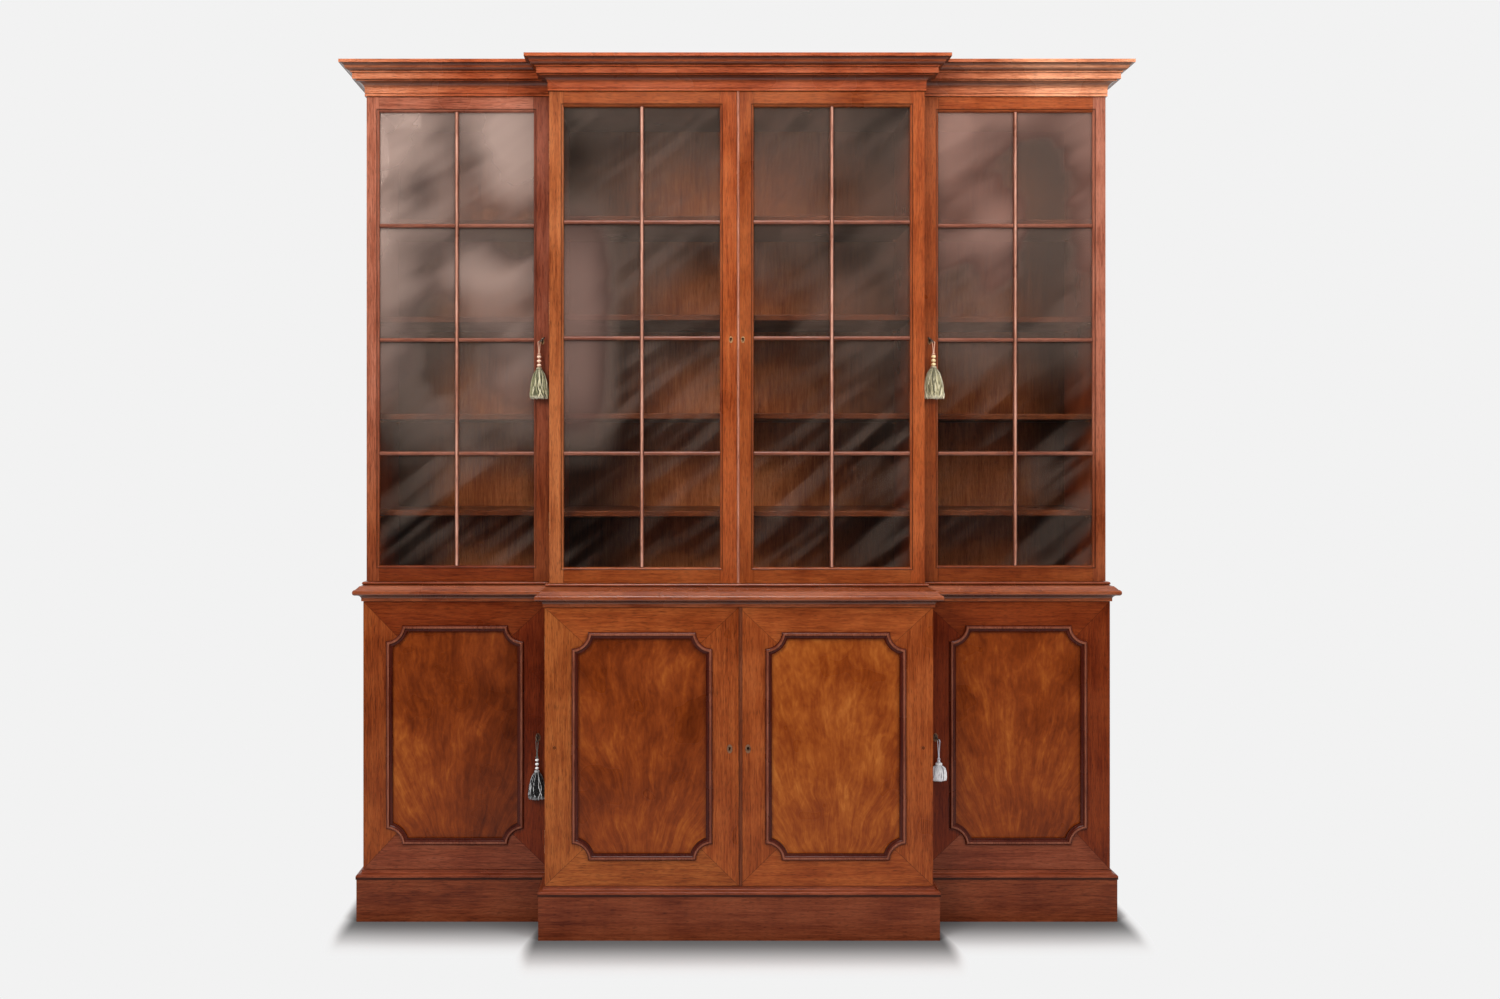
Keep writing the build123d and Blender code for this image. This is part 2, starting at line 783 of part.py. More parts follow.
def keyhole(x, z, front, depth, extra):
    """A round hole with a slot below it for the key's bit."""
    plane = Plane(origin=(x, front, z), x_dir=(1, 0, 0), z_dir=(0, -1, 0))
    slot = key_bit_reach + keyhole_slot_clearance + extra
    shape = Circle(keyhole_radius + extra) + Pos(0, -slot / 2) * Rectangle(
        (keyhole_slot_half_width + extra) * 2, slot)
    return extrude(plane * shape, amount=-depth)


def escutcheon(x, z, face, half_width, half_height):
    """An oval plate let into the face round the keyhole, and the seat cut for it."""
    drop = (key_bit_reach + keyhole_slot_clearance - keyhole_radius) / 2
    plane = Plane(origin=(x, face - escutcheon_proud, z - drop), x_dir=(1, 0, 0), z_dir=(0, -1, 0))
    plate = extrude(plane * Ellipse(half_width, half_height), amount=-escutcheon_thickness)
    plate = plate - keyhole(x, z, face - overrun, overrun * 2, 0)
    seat_face = Ellipse(half_width + joint_clearance, half_height + joint_clearance)
    seat = extrude(plane * seat_face, amount=-escutcheon_thickness)
    return plate, seat


def lock(free_edge, key_x, key_z, door_back):
    """A lock case let into the back of the stile, flush with the stile's edge; also its seat."""
    half = lock_height / 2
    low = (key_x - lock_beyond_key, door_back - lock_thickness, key_z - half)
    high = (free_edge, door_back, key_z + half)
    case = block(low, high)
    hollow = block([v + lock_wall for v in low], [v - lock_wall for v in high])
    seat = block((low[0] - joint_clearance, low[1], low[2] - joint_clearance),
                 (high[0] + overrun, high[1] + overrun, high[2] + joint_clearance))
    bolt_low, bolt_high = bolt_corners(free_edge, key_z, door_back)
    clear = bolt_slide_clearance
    slot = block((bolt_high[0] - overrun, bolt_low[1] - clear, bolt_low[2] - clear),
                 (bolt_high[0] + overrun, bolt_high[1] + clear, bolt_high[2] + clear))
    bore = Pos(key_x, low[1], key_z) * Cylinder(
        key_shank_radius + key_shank_clearance, overrun, rotation=(90, 0, 0))
    slot_drop = key_bit_reach + keyhole_slot_clearance
    bit_slot = block((key_x - keyhole_slot_half_width, low[1] - overrun, key_z - slot_drop),
                     (key_x + keyhole_slot_half_width, low[1] + lock_wall * 2, key_z))
    case = case - hollow - slot - bore - bit_slot
    return case, seat


def bolt_corners(free_edge, key_z, door_back):
    """Opposite corners of the bolt, drawn back inside the stile's edge."""
    front_line = door_back - lock_thickness + lock_wall + bolt_slide_clearance
    nose = free_edge - bolt_retreat
    low = (nose - bolt_length, front_line, key_z + bolt_above_key)
    high = (nose, front_line + bolt_thickness, key_z + bolt_above_key + bolt_height)
    return low, high


def striker(free_edge, key_z, door_back):
    """The plate in the partition's side, and what is cut there for it and the bolt's end."""
    low, high = bolt_corners(free_edge, key_z, door_back)
    wall = -half_centre
    end = high[0] + bolt_travel + mortise_extra
    mortise = block((wall - overrun, low[1] - mortise_extra, low[2] - mortise_extra),
                    (end, high[1] + mortise_extra, high[2] + mortise_extra))
    plate_low = (wall, low[1] - mortise_extra - striker_margin_front, low[2] - striker_margin)
    plate_high = (wall + striker_thickness, high[1] + mortise_extra + striker_margin_front,
                  high[2] + striker_margin)
    plate = block(plate_low, plate_high)
    seat = block((plate_low[0] - overrun, plate_low[1], plate_low[2]), plate_high)
    return plate - mortise, [seat, mortise]


def key(key_x, key_z, face, door_back, angle):
    """A key with a ring bow: the bow and the bit lie at the same angle."""
    radial = Vector(cos(radians(angle)), 0, sin(radians(angle)))
    square = radial.cross(inward)
    shank_end = door_back - lock_wall - key_end_clearance
    bow_line = face - key_neck - key_bow_radius
    shank_start = bow_line + key_bow_radius
    shank = Pos(key_x, (shank_start + shank_end) / 2, key_z) * Cylinder(
        key_shank_radius, shank_end - shank_start, rotation=(90, 0, 0))
    collar_line = face - key_neck + key_bow_wire_radius + key_collar_length
    collar = Pos(key_x, collar_line - key_collar_length / 2, key_z) * Cylinder(
        key_collar_radius, key_collar_length, rotation=(90, 0, 0))
    ring = Plane(origin=(key_x, bow_line, key_z), x_dir=radial, z_dir=square) * Torus(
        key_bow_radius, key_bow_wire_radius)
    bit_line = shank_end - key_bit_length / 2
    bit = Plane(origin=(key_x, bit_line, key_z), x_dir=radial, z_dir=square) * (
        Pos(key_bit_reach / 2, 0, 0) * Box(key_bit_reach, key_bit_length, key_bit_thickness))
    hang = Vector(key_x, bow_line, key_z) + radial * key_bow_radius
    return shank + collar + ring + bit, hang


def cord_loop(hang, drop):
    """A loop of cord over the bow's wire, its two ends meeting the knot."""
    half = key_bow_wire_radius + cord_radius + cord_gap
    left = Vector(hang.X - half, hang.Y, hang.Z - drop)
    far = Vector(hang.X + half, hang.Y, hang.Z - drop)
    rise = up * drop
    path = Wire([
        Line(left, left + rise).edge(),
        ThreePointArc(left + rise, hang + up * half, far + rise).edge(),
        Line(far + rise, far).edge(),
    ])
    section = Plane(origin=left, z_dir=(0, 0, 1)) * Circle(cord_radius)
    return sweep(section, path=path)


def bead(centre, radius):
    """A turned bead with flat ends, and half of its height."""
    flat = radius * bead_flat_share
    half = sqrt(radius * radius - flat * flat)
    shape = outline((0, -half), (flat, -half), ((radius, 0), (flat, half)), (0, half))
    plane = Plane(origin=centre, x_dir=(1, 0, 0), z_dir=(0, -1, 0))
    return revolve(plane * shape, axis=Axis(centre, (0, 0, 1)))


def tassel(hang, drop, beads, radius, neck_radius, head_height, skirt_height, half_width, half_depth):
    """Knot, beads, bound head and a skirt that is wider than deep."""
    top = hang.Z - drop
    x, y = hang.X, hang.Y
    parts = [Pos(x, y, top - knot_height / 2) * Cylinder(knot_radius, knot_height)]
    top -= knot_height
    half = radius * sqrt(1 - bead_flat_share * bead_flat_share)
    for count in range(beads):
        parts.append(bead((x, y, top - half - half * 2 * count), radius))
    top -= half * 2 * beads
    flat = radius * bead_flat_share
    neck = outline((0, 0), (flat, 0), bulge((flat, 0), (neck_radius, -head_height), quarter_share),
                   (0, -head_height))
    plane = Plane(origin=(x, y, top), x_dir=(1, 0, 0), z_dir=(0, -1, 0))
    parts.append(revolve(plane * neck, axis=Axis((x, y, top), (0, 0, 1))))
    top -= head_height
    sections = []
    for height_share, width_share in skirt_shares:
        wide = neck_radius + (half_width - neck_radius) * width_share
        deep = neck_radius + (half_depth - neck_radius) * width_share
        sections.append(Pos(x, y, top - skirt_height * height_share) * Ellipse(wide, deep))
    parts.append(loft(sections, ruled=True))
    return parts


def meeting_bead(free_edge, low, high, face, width):
    """A rounded strip along the leading edge of the door's face."""
    shape = outline((0, 0), ((width / 2, bead_height), (width, 0)))
    plane_centre = Vector(free_edge, face, (low + high) / 2)
    return carried(shape, plane_centre, out_left, out_front, (high - low) / 2)


def cut_all(shapes, cutters, low_x, high_x):
    """Take the cutters out of the solids whose middle lies between two lines."""
    found = []
    for solid in shapes:
        if low_x < solid.bounding_box().center().X < high_x:
            for cutter in cutters:
                solid = solid - cutter
        found += solids_of(solid)
    return found


def hang_door(frame, edge, free_edge, low, high, face, thickness, shares):
    """Hinges for a left-hand door: the frame with its housings, its leaves, fixed leaves, post housings."""
    joint_line = face + thickness + door_back_gap / 2
    moving, fixed, post_cuts, frame_cuts = [], [], [], []
    for share in shares:
        still, leaf, post_cut, frame_cut = hinge(edge, joint_line, low + (high - low) * share)
        fixed += solids_of(still)
        moving += solids_of(leaf)
        post_cuts.append(post_cut)
        frame_cuts.append(frame_cut)
    frame = cut_all(frame, frame_cuts, edge, edge + (free_edge - edge) / 4)
    return frame, moving, fixed, post_cuts


def stile_keyhole(frame, edge, free_edge, key_x, key_z, face, thickness, sizes, with_lock):
    """The keyhole and its plate in the free stile, and the lock case behind it where there is one."""
    plate, seat = escutcheon(key_x, key_z, face, *sizes)
    cutters = [seat, keyhole(key_x, key_z, face - overrun, thickness - lock_thickness + overrun,
                             wood_keyhole_clearance)]
    brasses = solids_of(plate)
    if with_lock:
        case, housing = lock(free_edge, key_x, key_z, face + thickness)
        cutters.append(housing)
        brasses += solids_of(case)
    return cut_all(frame, cutters, free_edge - (free_edge - edge) / 4, free_edge), brasses


# Lines of the doors
wing_free_edge = -half_centre - wing_edge_clearance
centre_free_edge = -meeting_clearance
upper_door_low = surbase_top + door_end_clearance
upper_door_high = cornice_bottom - door_end_clearance
lower_door_low = plinth_top + door_end_clearance
lower_door_high = ledge_bottom - door_end_clearance
upper_edge_line = upper_door_thickness + door_back_gap
lower_edge_line = lower_door_thickness + door_back_gap
upper_key_level = upper_door_low + (upper_door_high - upper_door_low) * upper_lock_height_share
lower_key_level = lower_door_low + (lower_door_high - lower_door_low) * lower_lock_height_share

# Uprights, boards and shelves of both storeys
lower_sides = storey_sides(lower_wing_front + lower_edge_line, lower_centre_front + lower_edge_line,
                           plinth_height, ledge_bottom)
upper_sides = storey_sides(upper_wing_front + upper_edge_line, upper_centre_front + upper_edge_line,
                           ledge_top, cornice_bottom)
wing_bay, centre_bay = bay_lines()
shelves = []
brass_left = []
for sides, wing_face, centre_face, edge_line, low, high, shares in (
    (lower_sides, lower_wing_front, lower_centre_front, lower_edge_line, plinth_top, ledge_bottom,
     lower_shelf_shares),
    (upper_sides, upper_wing_front, upper_centre_front, upper_edge_line, ledge_top + board_thickness,
     cornice_bottom - board_thickness, upper_shelf_shares),
):
    for underside in shelf_levels(low, high, shares):
        wing_line = wing_face + edge_line + shelf_recess
        centre_line = centre_face + edge_line + shelf_recess
        shelves += both_sides(shelf(wing_bay, wing_line, underside))
        shelves.append(shelf(centre_bay, centre_line, underside))
        hole = peg_radius + peg_clearance
        brass_left += pegs(wing_bay, wing_line, underside, peg_radius, peg_depth, (-1, 1))
        brass_left += pegs(centre_bay, centre_line, underside, peg_radius, peg_depth, (-1,))
        wing_holes = pegs(wing_bay, wing_line, underside, hole, peg_hole_depth, (-1,))
        side_holes = pegs(wing_bay, wing_line, underside, hole, peg_hole_depth, (1,))
        centre_holes = pegs(centre_bay, centre_line, underside, hole, peg_hole_depth, (-1,))
        for count, holes in enumerate((wing_holes, side_holes, centre_holes)):
            for cutter in holes:
                sides[count] = sides[count] - cutter

# Doors: each is built left-handed, and the right-hand ones are mirrored
glazed_doors = {
    "wing": (-half_case, wing_free_edge, upper_wing_front, upper_wing_hinge_stile, upper_wing_free_stile,
             wing_free_edge - upper_wing_key_inset),
    "centre": (-half_centre, centre_free_edge, upper_centre_front, upper_centre_hinge_stile,
               upper_centre_free_stile, centre_free_edge - upper_centre_key_inset),
}
panelled_doors = {
    "wing": (-half_case, wing_free_edge, lower_wing_front, lower_wing_hinge_margin,
             lower_wing_free_margin, wing_free_edge - lower_wing_key_inset),
    "centre": (-half_centre, centre_free_edge, lower_centre_front, lower_centre_hinge_margin,
               lower_centre_free_margin, centre_free_edge - lower_centre_key_inset),
}

upper_plate = (upper_escutcheon_half_width, upper_escutcheon_half_height)
lower_plate = (lower_escutcheon_half_width, lower_escutcheon_half_height)

for place, (edge, free_edge, face, hinge_stile, free_stile, key_x) in glazed_doors.items():
    low, high, key_z = upper_door_low, upper_door_high, upper_key_level
    frame, sight = glazed_frame(edge, free_edge, low, high, face, hinge_stile, free_stile)
    frame, leaves, fixed, post_cuts = hang_door(frame, edge, free_edge, low, high, face,
                                                upper_door_thickness, upper_hinge_shares)
    locked, locked_brass = stile_keyhole(frame, edge, free_edge, key_x, key_z, face,
                                         upper_door_thickness, upper_plate, True)
    plain, plain_brass = locked, locked_brass
    if place == "centre":
        plain, plain_brass = stile_keyhole(frame, edge, free_edge, key_x, key_z, face,
                                           upper_door_thickness, upper_plate, False)
        locked = locked + solids_of(meeting_bead(free_edge, low, high, face, upper_bead_width))
    post = 0 if place == "wing" else 2
    for cutter in post_cuts:
        upper_sides[post] = upper_sides[post] - cutter
    brass_left += fixed
    bars = glazing_bars(sight, face)
    glass = panes(sight, face)
    write("upper_left_" + place + "_frame", plain)
    write("upper_right_" + place + "_frame", mirrored(locked))
    write("upper_left_" + place + "_glazing_bars", bars)
    write("upper_right_" + place + "_glazing_bars", mirrored(bars))
    write("upper_left_" + place + "_glass", glass)
    write("upper_right_" + place + "_glass", mirrored(glass))
    write("upper_left_" + place + "_brasses", leaves + plain_brass)
    write("upper_right_" + place + "_brasses", mirrored(leaves + locked_brass))

for place, (edge, free_edge, face, hinge_margin, free_margin, key_x) in panelled_doors.items():
    low, high, key_z = lower_door_low, lower_door_high, lower_key_level
    rect = (edge + hinge_margin, free_edge - free_margin, low + lower_bottom_margin, high - lower_top_margin)
    frame, opening = panelled_frame(edge, free_edge, low, high, face, rect)
    frame, leaves, fixed, post_cuts = hang_door(frame, edge, free_edge, low, high, face,
                                                lower_door_thickness, lower_hinge_shares)
    if place == "centre":
        plug_centre = (edge + plug_inset, face + plug_depth / 2, low + (high - low) * plug_height_share)
        hole = Pos(*plug_centre) * Cylinder(plug_radius + plug_clearance, plug_depth, rotation=(90, 0, 0))
        plug = Pos(*plug_centre) * Cylinder(plug_radius, plug_depth, rotation=(90, 0, 0))
        frame = cut_all(frame, [hole], edge, edge + (free_edge - edge) / 4) + solids_of(plug)
    locked, locked_brass = stile_keyhole(frame, edge, free_edge, key_x, key_z, face,
                                         lower_door_thickness, lower_plate, True)
    plain, plain_brass = locked, locked_brass
    if place == "centre":
        plain, plain_brass = stile_keyhole(frame, edge, free_edge, key_x, key_z, face,
                                           lower_door_thickness, lower_plate, False)
        locked = locked + solids_of(meeting_bead(free_edge, low, high, face, lower_bead_width))
    post = 0 if place == "wing" else 2
    for cutter in post_cuts:
        lower_sides[post] = lower_sides[post] - cutter
    brass_left += fixed
    panel = door_panel(opening, face)
    moulding = panel_moulding(rect, face)
    write("lower_left_" + place + "_frame", plain)
    write("lower_right_" + place + "_frame", mirrored(locked))
    write("lower_left_" + place + "_panel", panel)
    write("lower_right_" + place + "_panel", mirrored(panel))
    write("lower_left_" + place + "_moulding", moulding)
    write("lower_right_" + place + "_moulding", mirrored(moulding))
    write("lower_left_" + place + "_brasses", leaves + plain_brass)
    write("lower_right_" + place + "_brasses", mirrored(leaves + locked_brass))

# Bolts, strikers, keys, cords and tassels of the wing doors
upper_tassel = (beads_per_tassel, upper_bead_radius, head_radius, upper_head_height, upper_skirt_height,
                upper_skirt_half_width, upper_skirt_half_depth)
lower_left_tassel = (beads_per_tassel, lower_left_bead_radius, head_radius, lower_left_head_height,
                     lower_left_skirt_height, lower_left_skirt_half_width, lower_left_skirt_half_depth)
lower_right_tassel = (1, lower_right_bead_radius, ruff_radius, lower_right_head_height,
                      lower_right_skirt_height, lower_right_skirt_half_width, lower_right_skirt_half_depth)
for storey, sides, face, thickness, inset, key_z, keys in (
    ("upper", upper_sides, upper_wing_front, upper_door_thickness, upper_wing_key_inset, upper_key_level,
     (("left", upper_key_angle, upper_drop, upper_tassel),
      ("right", 180 - upper_key_angle, upper_drop, upper_tassel))),
    ("lower", lower_sides, lower_wing_front, lower_door_thickness, lower_wing_key_inset, lower_key_level,
     (("left", lower_left_key_angle, lower_left_drop, lower_left_tassel),
      ("right", lower_right_key_angle, lower_right_drop, lower_right_tassel))),
):
    door_back = face + thickness
    bolt = block(*bolt_corners(wing_free_edge, key_z, door_back))
    write(storey + "_left_bolt", bolt)
    write(storey + "_right_bolt", mirrored(bolt))
    plate, cutters = striker(wing_free_edge, key_z, door_back)
    brass_left += solids_of(plate)
    for cutter in cutters:
        sides[2] = sides[2] - cutter
    for side, angle, drop, sizes in keys:
        key_x = wing_free_edge - inset if side == "left" else inset - wing_free_edge
        solid, hang = key(key_x, key_z, face, door_back, angle)
        write(storey + "_" + side + "_key", solid)
        write(storey + "_" + side + "_key_cord", cord_loop(hang, drop))
        write(storey + "_" + side + "_tassel", tassel(hang, drop, *sizes))
        print(storey, side, "key at", round(key_x, 3), round(key_z, 3), "cord hangs at",
              [round(v, 4) for v in (hang.X, hang.Y, hang.Z)], "loop radius",
              round(key_bow_wire_radius + cord_radius + cord_gap, 3))

write("upper_uprights", both_sides(upper_sides))
write("lower_uprights", both_sides(lower_sides))
write("shelves", shelves)
write("carcase_brasses", both_sides(brass_left))

# Level boards and back boards
lower_boards = bay_boards(lower_wing_front + lower_edge_line, lower_centre_front + lower_edge_line,
                          plinth_top - board_thickness, plinth_top)
upper_wing_edge = upper_wing_front + upper_edge_line
upper_centre_edge = upper_centre_front + upper_edge_line
upper_boards = bay_boards(upper_wing_edge, upper_centre_edge, ledge_top, ledge_top + board_thickness)
ceiling = cornice_bottom - board_thickness
upper_boards += bay_boards(upper_wing_edge, upper_centre_edge, ceiling, cornice_bottom)
ledge_wing_inner = wing_setback + ledge_seat
ledge_centre_inner = upper_centre_front - lower_centre_front + ledge_seat
board_bottom = ledge_top - ledge_board_thickness
for low, high, boards in ((ledge_bottom, board_bottom, lower_boards), (board_bottom, ledge_top, None)):
    wing_board = block((-half_case + ledge_seat, lower_wing_front + ledge_wing_inner, low),
                       (-half_centre, back, high))
    centre_board = block((-half_centre, lower_centre_front + ledge_centre_inner, low),
                         (half_centre, back, high))
    layer = both_sides(wing_board) + [centre_board]
    if boards is None:
        ledge_boards = layer
    else:
        lower_boards = boards + layer
write("lower_boards", lower_boards)
write("upper_boards", upper_boards)
write("back_boards", bay_backs(plinth_height, ledge_bottom) + bay_backs(ledge_top, cornice_bottom))

# Plinth, ledge, surbase and cornice
plinth_inner = max(plinth_board_thickness - plinth_board_projection, 0)
plinth = wall_runs(plinth_board_profile, (plinth_inner,) * 4, lower_wing_front, lower_centre_front,
                   plinth_board_projection, 0, plinth_height)
plinth_side = half_case - plinth_inner
back_rail = block((-plinth_side, back - plinth_board_thickness, 0), (plinth_side, back, plinth_height))
bearer_low = plinth_height - plinth_bearer_height
wing_bearer = block((-plinth_side, lower_wing_front + plinth_inner, bearer_low),
                    (-half_centre - plinth_inner, lower_wing_front + plinth_inner + plinth_bearer_width,
                     plinth_height))
centre_bearer = block((-half_centre + plinth_inner, lower_centre_front + plinth_inner, bearer_low),
                      (half_centre - plinth_inner, lower_centre_front + plinth_inner + plinth_bearer_width,
                       plinth_height))
write("plinth_boards", plinth + [back_rail, centre_bearer] + both_sides(wing_bearer))
write("plinth_moulding", wall_runs(plinth_moulding_profile, (0, lower_edge_line, 0, lower_edge_line),
                                   lower_wing_front, lower_centre_front, plinth_moulding_projection,
                                   plinth_height, plinth_moulding_height))
ledge = wall_runs(ledge_profile, (ledge_seat, ledge_wing_inner, 0, ledge_centre_inner), lower_wing_front,
                  lower_centre_front, ledge_nose_projection, ledge_bottom, ledge_height)
write("ledge", ledge + ledge_boards)
write("surbase_moulding", wall_runs(surbase_profile, (0, upper_edge_line, 0, upper_edge_line),
                                    upper_wing_front, upper_centre_front, surbase_projection,
                                    ledge_top, surbase_height))
cornice_inner = upper_edge_line + cornice_thickness
cornice = wall_runs(cornice_profile, (cornice_thickness, cornice_inner, cornice_thickness, cornice_inner),
                    upper_wing_front, upper_centre_front, cornice_top_projection, cornice_bottom,
                    cornice_height)
cornice_rail = block((-half_case + cornice_thickness, back - cornice_thickness, cornice_bottom),
                     (half_case - cornice_thickness, back, overall_height))
write("cornice", cornice + [cornice_rail])
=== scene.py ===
import math

import bmesh
import bpy
import numpy as np
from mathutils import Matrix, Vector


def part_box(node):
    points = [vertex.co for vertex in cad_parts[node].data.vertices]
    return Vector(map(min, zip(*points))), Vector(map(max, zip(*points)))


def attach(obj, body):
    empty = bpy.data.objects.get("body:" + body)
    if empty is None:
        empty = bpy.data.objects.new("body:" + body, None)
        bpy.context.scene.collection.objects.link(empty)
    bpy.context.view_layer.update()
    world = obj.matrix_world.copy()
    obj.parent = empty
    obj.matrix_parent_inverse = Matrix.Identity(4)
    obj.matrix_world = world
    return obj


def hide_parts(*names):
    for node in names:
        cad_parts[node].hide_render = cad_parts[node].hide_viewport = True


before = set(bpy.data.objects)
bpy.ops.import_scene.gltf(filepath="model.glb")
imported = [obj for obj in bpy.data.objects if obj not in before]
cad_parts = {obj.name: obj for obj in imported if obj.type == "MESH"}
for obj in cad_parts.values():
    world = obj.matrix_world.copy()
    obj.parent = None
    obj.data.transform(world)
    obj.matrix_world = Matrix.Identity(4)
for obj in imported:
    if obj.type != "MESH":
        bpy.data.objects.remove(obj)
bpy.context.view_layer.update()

MM = 0.001


def linear(shade, share=1.0):
    """An sRGB hex colour as linear RGBA, its light cut to a share."""
    channels = np.array([int(shade[i:i + 2], 16) for i in (1, 3, 5)]) / 255
    low = channels / 12.92
    high = ((channels + 0.055) / 1.055) ** 2.4
    return (*(share * np.where(channels <= 0.04045, low, high)).tolist(), 1.0)


def halved(node):
    """The middle of a node's box, and half its size."""
    low, high = (np.array(corner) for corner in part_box(node))
    return (low + high) / 2, (high - low) / 2


def add(tree, kind, inputs=None, output=0, stops=None, **settings):
    """Adds one node, sets its properties and colour stops, and sets or links its inputs."""
    made = tree.nodes.new("ShaderNode" + kind)
    for name, value in settings.items():
        setattr(made, name, value)
    if stops:
        ramp = made.color_ramp
        for _ in stops[2:]:
            ramp.elements.new(0.5)
        for element, (position, shade) in zip(ramp.elements, stops):
            element.position = position
            element.color = linear(shade)
    for entry, value in (inputs or {}).items():
        if isinstance(value, bpy.types.NodeSocket):
            tree.links.new(value, made.inputs[entry])
        else:
            made.inputs[entry].default_value = value
    return made.outputs[output] if len(made.outputs) else made


# Settings that many nodes share: mixed vectors, mixed colours, colours darkened by a shade, and a soft start
# and end. Where nothing is set, Math nodes add and Mix nodes mix numbers.
VECTORS = dict(output=1, data_type="VECTOR")
BLEND = dict(output=2, data_type="RGBA")
DARKEN = dict(output=2, data_type="RGBA", blend_type="MULTIPLY")
SMOOTH = dict(interpolation_type="SMOOTHSTEP")


def material(name):
    """An empty node material and its tree."""
    made = bpy.data.materials.new(name)
    made.use_nodes = True
    made.node_tree.nodes.clear()
    return made, made.node_tree


def finish(made, shader):
    """Ends a material in its output, and returns it."""
    add(made.node_tree, "OutputMaterial", {"Surface": shader})
    return made


def linked(name, data):
    """A new object in the scene."""
    made = bpy.data.objects.new(name, data)
    bpy.context.collection.objects.link(made)
    return made


def dress(node, finish_of_node):
    """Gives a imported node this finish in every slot."""
    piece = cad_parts[node]
    if not piece.material_slots:
        piece.data.materials.append(finish_of_node)
    for place in piece.material_slots:
        place.material = finish_of_node


# Mahogany tones after two centuries of light and polish, from sun-faded to the shaded red of the wings.
TONES = {
    "honey": "#A8653A",
    "amber": "#985628",
    "copper": "#A4562A",
    # The next tone is partly a painted sheen: the pink of light on the polish.
    "rosy_sheen": "#A86A56",
    "brick": "#8E4E3A",
    "tawny": "#964F24",
    "chestnut": "#8A461E",
    "umber": "#80442E",
    "russet": "#7C3815",
    "red": "#723010",
    # The next tone is partly painted shade, from the centre case's shadow on the wing stiles beside it.
    "oxblood_shade": "#742E0E",
}

# Widths across the grain. The pores are drawn about twice as wide as real ones, so that they show.
RIBBON_WIDTH = 17 * MM
STREAK_WIDTH = 3.4 * MM
CLOUD_WIDTH = 170 * MM
PORE_WIDTH = 1.1 * MM
GRAIN_STRETCH = 1 / 18
PORE_EDGE = (0.36, 0.45)
PORE_SHADE = 0.56
FIGURE = ((0.28, "#96705A"), (0.45, "#CFB6A4"), (0.56, "#EADCCE"), (0.74, "#FFFFFF"))
# Undersides face away from the light: a painted shade darkens the faces that look down.
UNDERSIDE_SHADE = 0.3
UNDERSIDE_FACING = (-0.75, -0.1)
# The hollow under the plinth moulding, and how dark its painted shade is.
QUIRK_HEIGHT = 5 * MM
QUIRK_EDGE = 1.5 * MM
QUIRK_SHADE = 0.2
# A painted highlight pales a cornice toward its ends: from x, to x, and by how much.
HIGHLIGHT_ENDS = ((0.55, 0.85, 1.0), (-0.75, -1.05, 0.5))
HIGHLIGHT_TONE = "#F2AA84"
# Joints in a door's frame, and the painted shade of the hollow round its stuck moulding, as dark lines: from
# and to, off the line's middle, and the shade.
MITRE_LINE = (0.006, 0.022, 0.45)
STICKING = 6.5 * MM
STICKING_LINE = (0.9 * MM, 2.4 * MM, 0.42)
PLUG_LINE = (4.2 * MM, 5.4 * MM, 0.5)
# How much of a meeting bead's depth has the bead's tone.
BEAD_SHARE = 0.93
# A wing stile's tone turns between these shares of its half height, counted down from the middle. Its paler
# upper part stands partly for a painted sheen of light on the polish.
FOOT_TURN = (-0.1, -0.8)
FOOT_SHARE = 0.85
# Glazing bars: how far from its middle a point is still on the upright, half its width, and its tones from a
# painted highlight in the middle to painted shade at the edges. The cross bars' tone is darker, without it.
BAR_REACH = 6 * MM
BAR_HALF = 4.2 * MM
BAR_CROSS_TONE = "#8A5644"
BAR_TONES = ((0.0, "#D8B0A4"), (0.5, "#C49486"), (0.8, "#8E6252"), (1.0, "#6E4234"))
# Back boards: the walls between the bays, the width of light in a bay, and the shades at its walls, on the
# outer side, and at two heights. Those at the walls and heights are painted shade.
BACK_TONE = "#B8845C"
BAY_WALL = 0.535
WING_BAY_HALF = 0.235
LIT_SHARE = 0.3
EDGE_SHADE = 0.25
OUTER_SHADE = 0.7
HEIGHT_SHADES = ((1.0, 0.95), (2.1, 0.85))
# The applied moulding's tones, from its crown, rubbed and with a painted highlight, down to its hollows,
# darkened by old polish and painted shade.
MOULD_DEPTH = 8 * MM
MOULD_TONES = ((0.0, "#865240"), (0.06, "#6C3828"), (0.2, "#541E0E"), (0.8, "#461608"))


def mingled(tree, level, patterns):
    """level plus each pattern's distance from its mean, times its part."""
    for pattern, part in patterns:
        offset = add(tree, "Math", {0: pattern, 1: 0.5}, operation="SUBTRACT")
        level = add(tree, "Math", {0: offset, 1: part, 2: level}, operation="MULTIPLY_ADD")
    return level


